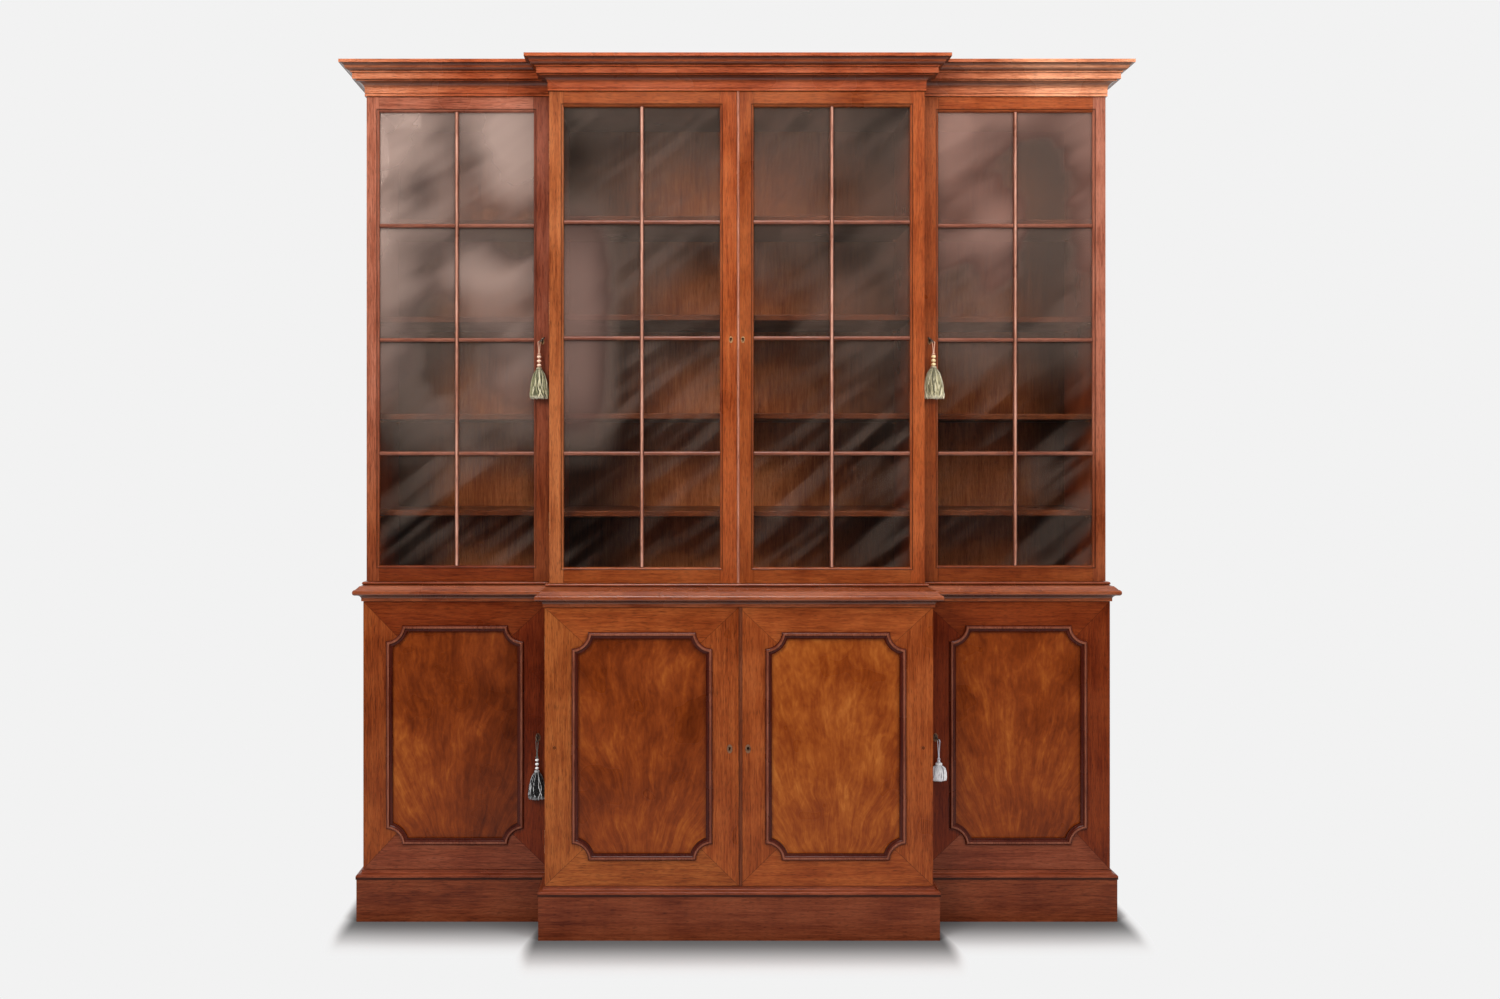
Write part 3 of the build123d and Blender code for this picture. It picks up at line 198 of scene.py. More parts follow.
def grained(tree, tone, grain, roughness=0.34, coat=0.06, gloss=0.16):
    """Polished straight-grained mahogany: its ribbons, streaks, faded clouds and open pores, in one shader.

    grain holds metres with z along the fibres; tone is a colour or a socket."""
    drawn = add(tree, "VectorMath", {0: grain, 1: (1, 1, GRAIN_STRETCH)}, operation="MULTIPLY")
    ribbon = add(tree, "TexNoise", {
        "Vector": drawn, "Scale": 1 / RIBBON_WIDTH, "Roughness": 0.55, "Distortion": 0.4})
    streak = add(tree, "TexNoise", {"Vector": drawn, "Scale": 1 / STREAK_WIDTH, "Roughness": 0.6})
    cloud = add(tree, "TexNoise", {"Vector": grain, "Scale": 1 / CLOUD_WIDTH})
    pore = add(tree, "TexNoise", {"Vector": drawn, "Scale": 1 / PORE_WIDTH, "Detail": 1.0})
    whole = mingled(tree, 0.5, ((ribbon, 0.3), (streak, 0.45), (cloud, 0.45)))
    figure = add(tree, "ValToRGB", {"Fac": whole}, stops=FIGURE)
    low, high = PORE_EDGE
    dashes = add(tree, "MapRange", {"Value": pore, "From Min": low, "From Max": high, "To Min": PORE_SHADE})
    coloured = add(tree, "Mix", {0: 1.0, 6: tone, 7: figure}, **DARKEN)
    pored = add(tree, "Mix", {0: 1.0, 6: coloured, 7: dashes}, **DARKEN)
    worn = add(tree, "MapRange", {
        "Value": cloud, "From Min": 0.3, "From Max": 0.7, "To Min": roughness - 0.07,
        "To Max": roughness + 0.09})
    relief = add(tree, "Bump", {"Height": pore, "Strength": 0.35, "Distance": 0.12 * MM})
    return add(tree, "BsdfPrincipled", {
        "Base Color": pored, "Roughness": worn, "Specular IOR Level": gloss, "Coat Weight": coat,
        "Coat Roughness": 0.16, "Normal": relief})


def run_along(tree, position, axis):
    """Object coordinates turned so that z follows the board's length."""
    if axis == "z":
        return position
    x, y, z = add(tree, "SeparateXYZ", {0: position}).node.outputs
    return add(tree, "CombineXYZ", {0: z, 1: y, 2: x} if axis == "x" else {0: z, 1: x, 2: y})


def boards(name, tone, axis, seed, highlit_ends=False, quirk=None, **look):
    """Boards whose grain all runs one way, or along each length of a moulding where axis is both.

    Where asked, a painted highlight pales the piece toward both ends. A painted shade darkens the
    QUIRK_HEIGHT above the level quirk."""
    made, tree = material(name)
    place = add(tree, "TexCoord", output="Object")
    moved = add(tree, "VectorMath", {0: place, 1: (seed, seed * 0.7, seed * 1.3)})
    if axis == "both":
        facing = add(tree, "SeparateXYZ", {0: add(tree, "TexCoord", output="Normal")})
        aside = add(tree, "Math", {0: facing}, operation="ABSOLUTE")
        turned = add(tree, "Math", {0: aside, 1: 0.5}, operation="GREATER_THAN")
        grain = add(tree, "Mix", {
            0: turned, 4: run_along(tree, moved, "x"), 5: run_along(tree, moved, "y")}, **VECTORS)
    else:
        grain = run_along(tree, moved, axis)
    # Painted shade: faces that look down are darker.
    facing = add(tree, "SeparateXYZ", {0: add(tree, "TexCoord", output="Normal")}, output=2)
    under, level = UNDERSIDE_FACING
    painted_shade = add(tree, "MapRange", {
        "Value": facing, "From Min": under, "From Max": level, "To Min": UNDERSIDE_SHADE})
    own = linear(tone)
    # Painted highlight: paler toward both ends of the piece.
    if highlit_ends:
        x = add(tree, "SeparateXYZ", {0: place})
        ends = [add(tree, "MapRange", {"Value": x, "From Min": inner, "From Max": outer, "To Max": most})
                for inner, outer, most in HIGHLIGHT_ENDS]
        end_highlight = add(tree, "Math", {0: ends[0], 1: ends[1]}, operation="MAXIMUM")
        own = add(tree, "Mix", {0: end_highlight, 6: own, 7: linear(HIGHLIGHT_TONE)}, **BLEND)
    # Painted shade: the lowest part of the moulding, in the hollow under its bead, is darkened.
    if quirk is not None:
        z = add(tree, "SeparateXYZ", {0: place}, output=2)
        crown = quirk + QUIRK_HEIGHT
        dark = add(tree, "MapRange", {
            "Value": z, "From Min": crown, "From Max": crown + QUIRK_EDGE, "To Min": QUIRK_SHADE})
        painted_shade = add(tree, "Math", {0: painted_shade, 1: dark}, operation="MULTIPLY")
    shaded = add(tree, "Mix", {0: 1.0, 6: own, 7: painted_shade}, **DARKEN)
    return finish(made, grained(tree, shaded, grain, **look))


def framed(name, node, widths, mitred, tones, seed, gloss, proud=0.0, plug=None, foot=None):
    """A door frame: stiles grained upright, rails grained across, each member in its own tone.

    A point's share of a member's width is 0 at the inner edge and 1 at the outer. With mitres the member with
    the larger share holds the point; with tenons the stiles run through, and a moulding is stuck round the
    glass. A bead stands proud of the face. Stiles may turn to another tone toward the foot."""
    left, right, top, bottom = widths
    middle, half = halved(node)
    made, tree = material(name)
    place = add(tree, "TexCoord", output="Object")
    centred = add(tree, "VectorMath", {0: place, 1: tuple(middle)}, operation="SUBTRACT")
    x, y, z = add(tree, "SeparateXYZ", {0: centred}).node.outputs
    shares = [add(tree, "Math", {0: value, 1: sign / width, 2: 1 - reach / width}, operation="MULTIPLY_ADD")
              for value, sign, width, reach in ((x, -1, left, half[0]), (x, 1, right, half[0]),
                                                (z, 1, top, half[2]), (z, -1, bottom, half[2]))]
    side = add(tree, "Math", {0: shares[0], 1: shares[1]}, operation="MAXIMUM")
    end = add(tree, "Math", {0: shares[2], 1: shares[3]}, operation="MAXIMUM") if mitred else 0.0
    stile = add(tree, "Math", {0: side, 1: end}, operation="GREATER_THAN")
    rightward = add(tree, "Math", {0: x, 1: 0.0}, operation="GREATER_THAN")
    upward = add(tree, "Math", {0: z, 1: 0.0}, operation="GREATER_THAN")
    stile_tone = add(tree, "Mix", {0: rightward, 6: linear(tones[0]), 7: linear(tones[1])}, **BLEND)
    if foot:
        start, stop = (share * half[2] for share in FOOT_TURN)
        lower = add(tree, "MapRange", {
            "Value": z, "From Min": start, "From Max": stop, "To Max": FOOT_SHARE}, **SMOOTH)
        stile_tone = add(tree, "Mix", {0: lower, 6: stile_tone, 7: linear(foot)}, **BLEND)
    rail_tone = add(tree, "Mix", {0: upward, 6: linear(tones[3]), 7: linear(tones[2])}, **BLEND)
    tone = add(tree, "Mix", {0: stile, 6: rail_tone, 7: stile_tone}, **BLEND)
    # Dark lines: where the members meet, as old joints open; round the stuck moulding, as painted shade; and
    # round a plug.
    lines = [(add(tree, "Math", {0: side, 1: end}, operation="SUBTRACT"), MITRE_LINE)]
    if not mitred:
        rim = -1.0
        for share, width in zip(shares, widths):
            outward = add(tree, "Math", {0: share, 1: width}, operation="MULTIPLY")
            rim = add(tree, "Math", {0: outward, 1: rim}, operation="MAXIMUM")
        lines.append((add(tree, "Math", {0: rim, 1: STICKING}, operation="SUBTRACT"), STICKING_LINE))
    if plug:
        away = add(tree, "VectorMath", {0: place, 1: (plug[0], 0, plug[1])}, operation="SUBTRACT")
        flat = add(tree, "VectorMath", {0: away, 1: (1, 0, 1)}, operation="MULTIPLY")
        lines.append((add(tree, "VectorMath", {0: flat}, output="Value", operation="LENGTH"), PLUG_LINE))
    for offset, (start, stop, shade) in lines:
        near = add(tree, "Math", {0: offset}, operation="ABSOLUTE")
        line = add(tree, "MapRange", {"Value": near, "From Min": start, "From Max": stop, "To Min": shade})
        tone = add(tree, "Mix", {0: 1.0, 6: tone, 7: line}, **DARKEN)
    if proud:
        bead = add(tree, "Math", {0: y, 1: proud * BEAD_SHARE - half[1]}, operation="LESS_THAN")
        tone = add(tree, "Mix", {0: bead, 6: tone, 7: linear(tones[4])}, **BLEND)
    upright = add(tree, "VectorMath", {0: place, 1: (seed, seed, seed)})
    across = run_along(tree, add(tree, "VectorMath", {0: place, 1: (seed + 3, seed, seed - 2)}), "x")
    grain = add(tree, "Mix", {0: stile, 4: across, 5: upright}, **VECTORS)
    return finish(made, grained(tree, tone, grain, gloss=gloss))


def backed(name, seed):
    """Unpolished back boards, with painted shade within the case beside the partitions and toward the top.

    Across each bay the tone's share is 1 in the middle and EDGE_SHADE at the walls. BAY_WALL is the x of the
    walls between the bays, and the wing bays are 2 WING_BAY_HALF wide. The outer side keeps an even tone."""
    made, tree = material(name)
    place = add(tree, "TexCoord", output="Object")
    x, _, z = add(tree, "SeparateXYZ", {0: place}).node.outputs
    across = add(tree, "Math", {0: x}, operation="ABSOLUTE")
    inner = add(tree, "Math", {0: across, 1: BAY_WALL}, operation="LESS_THAN")
    aside = add(tree, "Math", {0: across, 1: BAY_WALL + WING_BAY_HALF}, operation="SUBTRACT")
    wing = add(tree, "Math", {0: aside, 1: 1 / WING_BAY_HALF}, operation="MULTIPLY")
    centre = add(tree, "Math", {0: across, 1: 1 / BAY_WALL}, operation="MULTIPLY")
    share = add(tree, "Mix", {0: inner, 2: wing, 3: centre})
    span = add(tree, "Math", {0: share}, operation="ABSOLUTE")
    light = add(tree, "MapRange", {
        "Value": span, "From Min": LIT_SHARE, "To Min": 1.0, "To Max": EDGE_SHADE}, **SMOOTH)
    (foot, foot_shade), (crown, crown_shade) = HEIGHT_SHADES
    high = add(tree, "MapRange", {
        "Value": z, "From Min": foot, "From Max": crown, "To Min": foot_shade, "To Max": crown_shade})
    shaded = add(tree, "Math", {0: light, 1: high}, operation="MULTIPLY")
    facing = add(tree, "SeparateXYZ", {0: add(tree, "TexCoord", output="Normal")}, output=1)
    outer = add(tree, "Math", {0: facing, 1: 0.5}, operation="GREATER_THAN")
    shaded = add(tree, "Mix", {0: outer, 2: shaded, 3: OUTER_SHADE})
    tone = add(tree, "Mix", {0: 1.0, 6: linear(BACK_TONE), 7: shaded}, **DARKEN)
    moved = add(tree, "VectorMath", {0: place, 1: (seed, seed, seed)})
    return finish(made, grained(tree, tone, moved, roughness=0.6, coat=0.0, gloss=0.2))


def barred(name, node, seed):
    """Glazing bars: the upright has its grain upright and a painted highlight down its middle; the cross
    bars are darker.
    """
    made, tree = material(name)
    place = add(tree, "TexCoord", output="Object")
    x = add(tree, "SeparateXYZ", {0: place})
    aside = add(tree, "Math", {0: x, 1: halved(node)[0][0]}, operation="SUBTRACT")
    near = add(tree, "Math", {0: aside}, operation="ABSOLUTE")
    upright = add(tree, "Math", {0: near, 1: BAR_REACH}, operation="LESS_THAN")
    round_off = add(tree, "MapRange", {"Value": near, "From Max": BAR_HALF})
    painted_highlight = add(tree, "ValToRGB", {"Fac": round_off}, stops=BAR_TONES)
    tone = add(tree, "Mix", {0: upright, 6: linear(BAR_CROSS_TONE), 7: painted_highlight}, **BLEND)
    moved = add(tree, "VectorMath", {0: place, 1: (seed, seed, seed)})
    grain = add(tree, "Mix", {0: upright, 4: run_along(tree, moved, "x"), 5: moved}, **VECTORS)
    return finish(made, grained(tree, tone, grain, gloss=0.5))


def moulded(name, node, seed):
    """Applied moulding: its crown is light, as rubbed wood and a painted highlight, and the hollows beside it
    dark, as old polish and painted shade.
    """
    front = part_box(node)[0][1]
    made, tree = material(name)
    place = add(tree, "TexCoord", output="Object")
    y = add(tree, "SeparateXYZ", {0: place}, output=1)
    depth = add(tree, "MapRange", {"Value": y, "From Min": front, "From Max": front + MOULD_DEPTH})
    tone = add(tree, "ValToRGB", {"Fac": depth}, stops=MOULD_TONES)
    moved = add(tree, "VectorMath", {0: place, 1: (seed, seed, seed)})
    return finish(made, grained(tree, tone, moved, roughness=0.26, gloss=0.22, coat=0.05))


# Crotch-cut veneer, from its shaded red-brown to the gold of its brightest plumes.
FLAME = ((0.22, "#320C01"), (0.42, "#5C2305"), (0.52, "#702F09"), (0.62, "#864212"), (0.8, "#A86428"))
FIBRE_WIDTH = 3.2 * MM
PLUME_WIDTH = 15 * MM
MOTTLE_WIDTH = 22 * MM
SHADE_WIDTH = 150 * MM
FAN_RADIUS = 0.3
# The fan's low point in half heights below the middle, the sway of its fibres, and the mottle's stretch.
FAN_DROP = 1.6
FAN_SWAY = 0.06
MOTTLE_STRETCH = 0.55


def flamed(name, node, seed, gold, slope_x, slope_z):
    """A flame veneer panel. Its fibres fan upward from a low point: the pattern is drawn on the angle from
    that point, times a mean radius, and on the distance along the fibre."""
    middle, half = halved(node)
    made, tree = material(name)
    place = add(tree, "TexCoord", output="Object")
    centred = add(tree, "VectorMath", {0: place, 1: tuple(middle)}, operation="SUBTRACT")
    seeded = add(tree, "VectorMath", {0: centred, 1: (seed, seed * 2, -seed)})
    bend = add(tree, "TexNoise", {"Vector": seeded, "Scale": 1 / SHADE_WIDTH, "Detail": 1.0}, output="Color")
    shift = add(tree, "VectorMath", {0: bend, 1: (0.5, 0.5, 0.5)}, operation="SUBTRACT")
    sway = add(tree, "VectorMath", {0: shift, "Scale": FAN_SWAY}, operation="SCALE")
    swayed = add(tree, "VectorMath", {0: centred, 1: sway})
    x, _, z = add(tree, "SeparateXYZ", {0: swayed}).node.outputs
    rise = add(tree, "Math", {0: z, 1: FAN_DROP * half[2]})
    angle = add(tree, "Math", {0: x, 1: rise}, operation="ARCTAN2")
    arc = add(tree, "Math", {0: angle, 1: FAN_RADIUS}, operation="MULTIPLY")
    reach = add(tree, "Math", {0: rise, 1: GRAIN_STRETCH * 2}, operation="MULTIPLY")
    fan = add(tree, "CombineXYZ", {0: arc, 1: seed, 2: reach})
    fibre = add(tree, "TexNoise", {"Vector": fan, "Scale": 1 / FIBRE_WIDTH, "Detail": 3.0, "Roughness": 0.6})
    plume = add(tree, "TexNoise", {"Vector": fan, "Scale": 1 / PLUME_WIDTH, "Distortion": 0.6})
    drawn = add(tree, "VectorMath", {0: seeded, 1: (1, 1, MOTTLE_STRETCH)}, operation="MULTIPLY")
    mottle = add(tree, "TexNoise", {
        "Vector": drawn, "Scale": 1 / MOTTLE_WIDTH, "Detail": 3.0, "Roughness": 0.6, "Distortion": 1.2})
    shade = add(tree, "TexNoise", {"Vector": seeded, "Scale": 1 / SHADE_WIDTH})
    level = mingled(tree, gold, ((fibre, 0.2), (plume, 0.28), (mottle, 0.22), (shade, 0.4)))
    level = add(tree, "Math", {0: x, 1: slope_x / half[0], 2: level}, operation="MULTIPLY_ADD")
    level = add(tree, "Math", {0: z, 1: slope_z / half[2], 2: level}, operation="MULTIPLY_ADD")
    colour = add(tree, "ValToRGB", {"Fac": level}, stops=FLAME)
    polish = add(tree, "MapRange", {
        "Value": shade, "From Min": 0.3, "From Max": 0.7, "To Min": 0.24, "To Max": 0.4})
    relief = add(tree, "Bump", {"Height": fibre, "Strength": 0.2, "Distance": 0.1 * MM})
    return finish(made, add(tree, "BsdfPrincipled", {
        "Base Color": colour, "Roughness": polish, "Specular IOR Level": 0.16, "Coat Weight": 0.06,
        "Coat Roughness": 0.14, "Normal": relief}))


# Sizes across the marks on the glass, in metres: partly dust and wiping strokes, partly painted reflection.
# The strokes are drawn a few times as wide as real ones, so that they show.
CLEAR_TONE = "#EED8C8"
BLOOM_AND_REFLECTION_WIDTH = 0.28
BLOOM_AND_REFLECTION_STREAK = 0.05
STROKE_WIDTH = 0.04
WAVE_WIDTH = 0.11
PANE_PITCH = (0.2215, 1.0, 0.3225)
PANE_LEAN = 0.03
# The share of a door's height above which its bloom and painted reflection are full, the most that a
# slanting stroke adds, and how many times faster than the bloom its tint comes.
FULL_BLOOM_AND_REFLECTION = 0.8
STROKE_MOST = 0.028
TINT_GAIN = 9.0
# A painted reflection of a window, as a pale band: its fade beside the stile, and between shares of the
# door's height at both ends.
WINDOW_REFLECTION_FADE = (0.05, 0.18)
WINDOW_REFLECTION_ENDS = ((0.2, 0.42), (0.84, 0.62))


def old_glass(name, node, seed, bloom_and_reflection_tone, bloom_and_reflection_above, bloom_and_reflection_below, fade_share, window_reflection=0.0):
    """Hand-made window panes: wavy, each set at its own slight tilt, with a bloom and slanting strokes that
    are partly dust and wiping marks and partly a painted reflection of the room's light.

    The bloom thins from the door's top down to the given share of its height, below which the panes are
    handled and wiped and the painted reflection fades. A painted window reflection adds a pale band beside
    the left stile of the middle panes."""
    low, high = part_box(node)
    tall = high[2] - low[2]
    made, tree = material(name)
    place = add(tree, "TexCoord", output="Object")
    moved = add(tree, "VectorMath", {0: place, 1: (seed, 0, seed)})
    broad = add(tree, "TexNoise", {"Vector": moved, "Scale": 1 / BLOOM_AND_REFLECTION_WIDTH, "Detail": 1.0})
    slanting = []
    for slant, stretch, width, detail in ((-32, 5, BLOOM_AND_REFLECTION_STREAK, 1.5), (-38, 9, STROKE_WIDTH, 0.5)):
        slanted = add(tree, "Mapping", {
            "Vector": moved, "Rotation": (0, math.radians(slant), 0), "Scale": (stretch, 1, 1)},
            vector_type="TEXTURE")
        slanting.append(add(tree, "TexNoise", {"Vector": slanted, "Scale": 1 / width, "Detail": detail}))
    streak, stroke = slanting
    # The bloom is partly dust and partly painted reflection: broad clouds with slanting streaks.
    clouds = add(tree, "Math", {0: broad, 1: 0.82}, operation="MULTIPLY")
    both = add(tree, "Math", {0: streak, 1: 0.18, 2: clouds}, operation="MULTIPLY_ADD")
    patch = add(tree, "MapRange", {"Value": both, "From Min": 0.36, "From Max": 0.6, "To Min": 0.15})
    x, _, z = add(tree, "SeparateXYZ", {0: place}).node.outputs
    most = add(tree, "MapRange", {
        "Value": z, "From Min": low[2] + fade_share * tall, "From Max": low[2] + FULL_BLOOM_AND_REFLECTION * tall,
        "To Min": bloom_and_reflection_below, "To Max": bloom_and_reflection_above}, **SMOOTH)
    stroke_share = add(tree, "MapRange", {"Value": stroke, "From Min": 0.4, "From Max": 0.75, "To Max": STROKE_MOST},
                **SMOOTH)
    most = add(tree, "Math", {0: most, 1: stroke_share})
    bloom_and_reflection = add(tree, "Math", {0: patch, 1: most}, operation="MULTIPLY")
    # Painted reflection of a window: a pale band beside the left stile.
    if window_reflection:
        inner, outer = WINDOW_REFLECTION_FADE
        reflection_band = add(tree, "MapRange", {
            "Value": x, "From Min": low[0] + inner, "From Max": low[0] + outer, "To Min": window_reflection,
            "To Max": 0.0}, **SMOOTH)
        for foot, crown in WINDOW_REFLECTION_ENDS:
            within = add(tree, "MapRange", {
                "Value": z, "From Min": low[2] + foot * tall, "From Max": low[2] + crown * tall}, **SMOOTH)
            reflection_band = add(tree, "Math", {0: reflection_band, 1: within}, operation="MULTIPLY")
        bloom_and_reflection = add(tree, "Math", {0: bloom_and_reflection, 1: reflection_band})
    clear = add(tree, "Math", {0: 1.0, 1: bloom_and_reflection}, operation="SUBTRACT")
    wave = add(tree, "TexNoise", {"Vector": moved, "Scale": 1 / WAVE_WIDTH, "Detail": 0.0})
    cell = add(tree, "VectorMath", {0: moved, 1: PANE_PITCH}, operation="SNAP")
    chance = add(tree, "TexWhiteNoise", {"Vector": cell}, output="Color")
    lean = add(tree, "VectorMath", {0: chance, 1: (0.5, 0.5, 0.5)}, operation="SUBTRACT")
    small = add(tree, "VectorMath", {0: lean, "Scale": PANE_LEAN}, operation="SCALE")
    wavy = add(tree, "Bump", {"Height": wave, "Strength": 0.4, "Distance": 2 * MM})
    tilted = add(tree, "VectorMath", {0: wavy, 1: small})
    normal = add(tree, "VectorMath", {0: tilted}, operation="NORMALIZE")
    tinted = add(tree, "Math", {0: bloom_and_reflection, 1: TINT_GAIN}, operation="MULTIPLY", use_clamp=True)
    tint = add(tree, "Mix", {0: tinted, 6: linear(CLEAR_TONE), 7: linear(bloom_and_reflection_tone)}, **BLEND)
    pane = add(tree, "BsdfPrincipled", {
        "Base Color": tint, "Roughness": 0.0, "IOR": 1.46, "Transmission Weight": clear, "Normal": normal})
    through = add(tree, "BsdfTransparent", {"Color": linear("#F4F0EC")})
    shadow = add(tree, "LightPath", output="Is Shadow Ray")
    return finish(made, add(tree, "MixShader", {0: shadow, 1: pane, 2: through}))


TARNISH_WIDTH = 9 * MM
SCRATCH_WIDTH = 0.8 * MM


def metal(name, tone, dark, roughness, bare=1.0):
    """Handled metal: bright where it is touched, duller and darker in patches.

    bare is the share that shows as bare metal. The rest is under its patina, which scatters the light."""
    made, tree = material(name)
    place = add(tree, "TexCoord", output="Object")
    patch = add(tree, "TexNoise", {"Vector": place, "Scale": 1 / TARNISH_WIDTH, "Detail": 3.0})
    dulled = add(tree, "MapRange", {"Value": patch, "From Min": 0.4, "From Max": 0.62})
    colour = add(tree, "Mix", {0: dulled, 6: linear(tone), 7: linear(dark)}, **BLEND)
    rough = add(tree, "MapRange", {
        "Value": patch, "From Min": 0.35, "From Max": 0.65, "To Min": roughness, "To Max": roughness + 0.2})
    scratch = add(tree, "TexNoise", {"Vector": place, "Scale": 1 / SCRATCH_WIDTH})
    relief = add(tree, "Bump", {"Height": scratch, "Strength": 0.15, "Distance": 0.05 * MM})
    return finish(made, add(tree, "BsdfPrincipled", {
        "Base Color": colour, "Metallic": bare, "Roughness": rough, "Normal": relief}))


def yarn(name, stops, pitch, tips):
    """Silk or cotton strands: each takes its colour from its own shade, with the twist of its plies.

    The strands are darker toward the head, as painted shade under it. The looped tips at the hem are paler,
    as worn dye and a painted highlight."""
    made, tree = material(name)
    shade = add(tree, "Attribute", output="Fac", attribute_name="shade")
    along = add(tree, "Attribute", output="Fac", attribute_name="along")
    colour = add(tree, "ValToRGB", {"Fac": shade}, stops=stops)
    # Painted shade: the strands darken toward the head.
    depth = add(tree, "MapRange", {"Value": along, "From Max": 0.35, "To Min": 0.62})
    colour = add(tree, "Mix", {0: 1.0, 6: colour, 7: depth}, **DARKEN)
    # The tips pale as worn dye and a painted highlight.
    worn = add(tree, "MapRange", {"Value": along, "From Min": 0.88, "From Max": 0.98, "To Max": 0.5})
    colour = add(tree, "Mix", {0: worn, 6: colour, 7: linear(tips)}, **BLEND)
    turns = add(tree, "UVMap", uv_map="strand")
    ply = add(tree, "TexWave", {"Vector": turns, "Scale": 1.0, "Distortion": 0.4, "Detail": 1.0},
              output="Fac", wave_type="BANDS", bands_direction="DIAGONAL")
    relief = add(tree, "Bump", {"Height": ply, "Strength": 0.5, "Distance": pitch})
    return finish(made, add(tree, "BsdfPrincipled", {
        "Base Color": colour, "Roughness": 0.62, "Sheen Weight": 0.3, "Sheen Roughness": 0.4,
        "Normal": relief}))


def plain_yarn(name, tone):
    """A twisted silk cord, its plies drawn as slanting bands, with painted shade in the grooves
    between them.
    """
    made, tree = material(name)
    place = add(tree, "TexCoord", output="Object")
    ply = add(tree, "TexWave", {"Vector": place, "Scale": 1 / (6 * MM), "Distortion": 0.3}, output="Fac",
              wave_type="BANDS", bands_direction="DIAGONAL")
    colour = add(tree, "Mix", {0: ply, 6: linear(tone, 0.55), 7: linear(tone)}, **BLEND)
    relief = add(tree, "Bump", {"Height": ply, "Strength": 0.5, "Distance": 0.2 * MM})
    return finish(made, add(tree, "BsdfPrincipled", {
        "Base Color": colour, "Roughness": 0.6, "Sheen Weight": 0.3, "Normal": relief}))


def bead_gloss(name, tone):
    """A turned and painted wooden bead, slightly crazed and rubbed."""
    made, tree = material(name)
    place = add(tree, "TexCoord", output="Object")
    patch = add(tree, "TexNoise", {"Vector": place, "Scale": 1 / (3 * MM), "Detail": 3.0})
    rubbed = add(tree, "MapRange", {"Value": patch, "From Min": 0.5, "From Max": 0.7})
    colour = add(tree, "Mix", {0: rubbed, 6: linear(tone), 7: linear(tone, 0.72)}, **BLEND)
    relief = add(tree, "Bump", {"Height": patch, "Strength": 0.1, "Distance": 0.1 * MM})
    return finish(made, add(tree, "BsdfPrincipled", {
        "Base Color": colour, "Roughness": 0.3, "IOR": 1.5, "Coat Weight": 0.4, "Normal": relief}))


# Carcase, mouldings and shelves.
for node, tone, axis in (
        ("plinth_boards", "#7A3F26", "both"), ("plinth_moulding", "#84442C", "both"),
        ("lower_uprights", "#7A3C20", "z"), ("lower_boards", "#7A4020", "x"),
        ("ledge", "#94502E", "both"), ("surbase_moulding", "#8E4A2E", "both"),
        ("upper_uprights", "#7E4A32", "z"), ("upper_boards", "#7A4424", "x"),
        ("cornice", "#AE5A34", "both"), ("shelves", "#62402E", "x")):
    shiny = node in ("cornice", "ledge", "surbase_moulding")
    dress(node, boards(f"polished_{node}", tone, axis, seed=1.7 + len(node) * 0.37,
                       gloss=0.5 if shiny else 0.14, coat=0.25 if shiny else 0.06,
                       roughness=0.26 if shiny else 0.34, highlit_ends=node == "cornice",
                       quirk=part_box(node)[0][2] if node == "plinth_moulding" else None))
dress("back_boards", backed("dry_back_boards", 4.1))

# Left stile, right stile, top rail, bottom rail, and the meeting bead where there is one.
FRAME_TONES = {
    "upper_left_wing": ("rosy_sheen", "brick", "rosy_sheen", "russet"),
    "upper_left_centre": ("honey", "copper", "tawny", "tawny"),
    "upper_right_centre": ("tawny", "copper", "tawny", "tawny"),
    "upper_right_wing": ("copper", "rosy_sheen", "copper", "chestnut"),
    "lower_left_wing": ("chestnut", "oxblood_shade", "russet", "umber"),
    "lower_left_centre": ("amber", "tawny", "tawny", "amber"),
    "lower_right_centre": ("tawny", "tawny", "tawny", "tawny"),
    "lower_right_wing": ("oxblood_shade", "red", "russet", "umber"),
}
# Widths in mm: hinge stile and free stile, top rail and bottom rail.
STILES = {"upper": {"wing": (36, 49.5), "centre": (40.5, 47.6)},
          "lower": {"wing": (65.5, 73), "centre": (73.5, 71.6)}}
RAILS = {"upper": (42, 44.5), "lower": (67.5, 70)}
FRAME_GLOSS = {"upper": 0.3, "lower": 0.14}
BEAD_PROUD = 3 * MM
# The upper bead's pale tone is partly a painted highlight along its crown.
BEAD_TONES = {"upper": "#B58070", "lower": "#6C3A24"}
# The wooden plugs, as the x and z of each.
PLUG = {"left": (-0.5035, 0.5205), "right": (0.5035, 0.5205)}

brass = metal("rubbed_brass", "#C8966A", "#8A623E", 0.28, 0.45)
steel = metal("worn_key_steel", "#8F877C", "#4A423A", 0.32)
tarnished = metal("tarnished_brass", "#7C5A42", "#523828", 0.4, 0.4)
dress("carcase_brasses", brass)
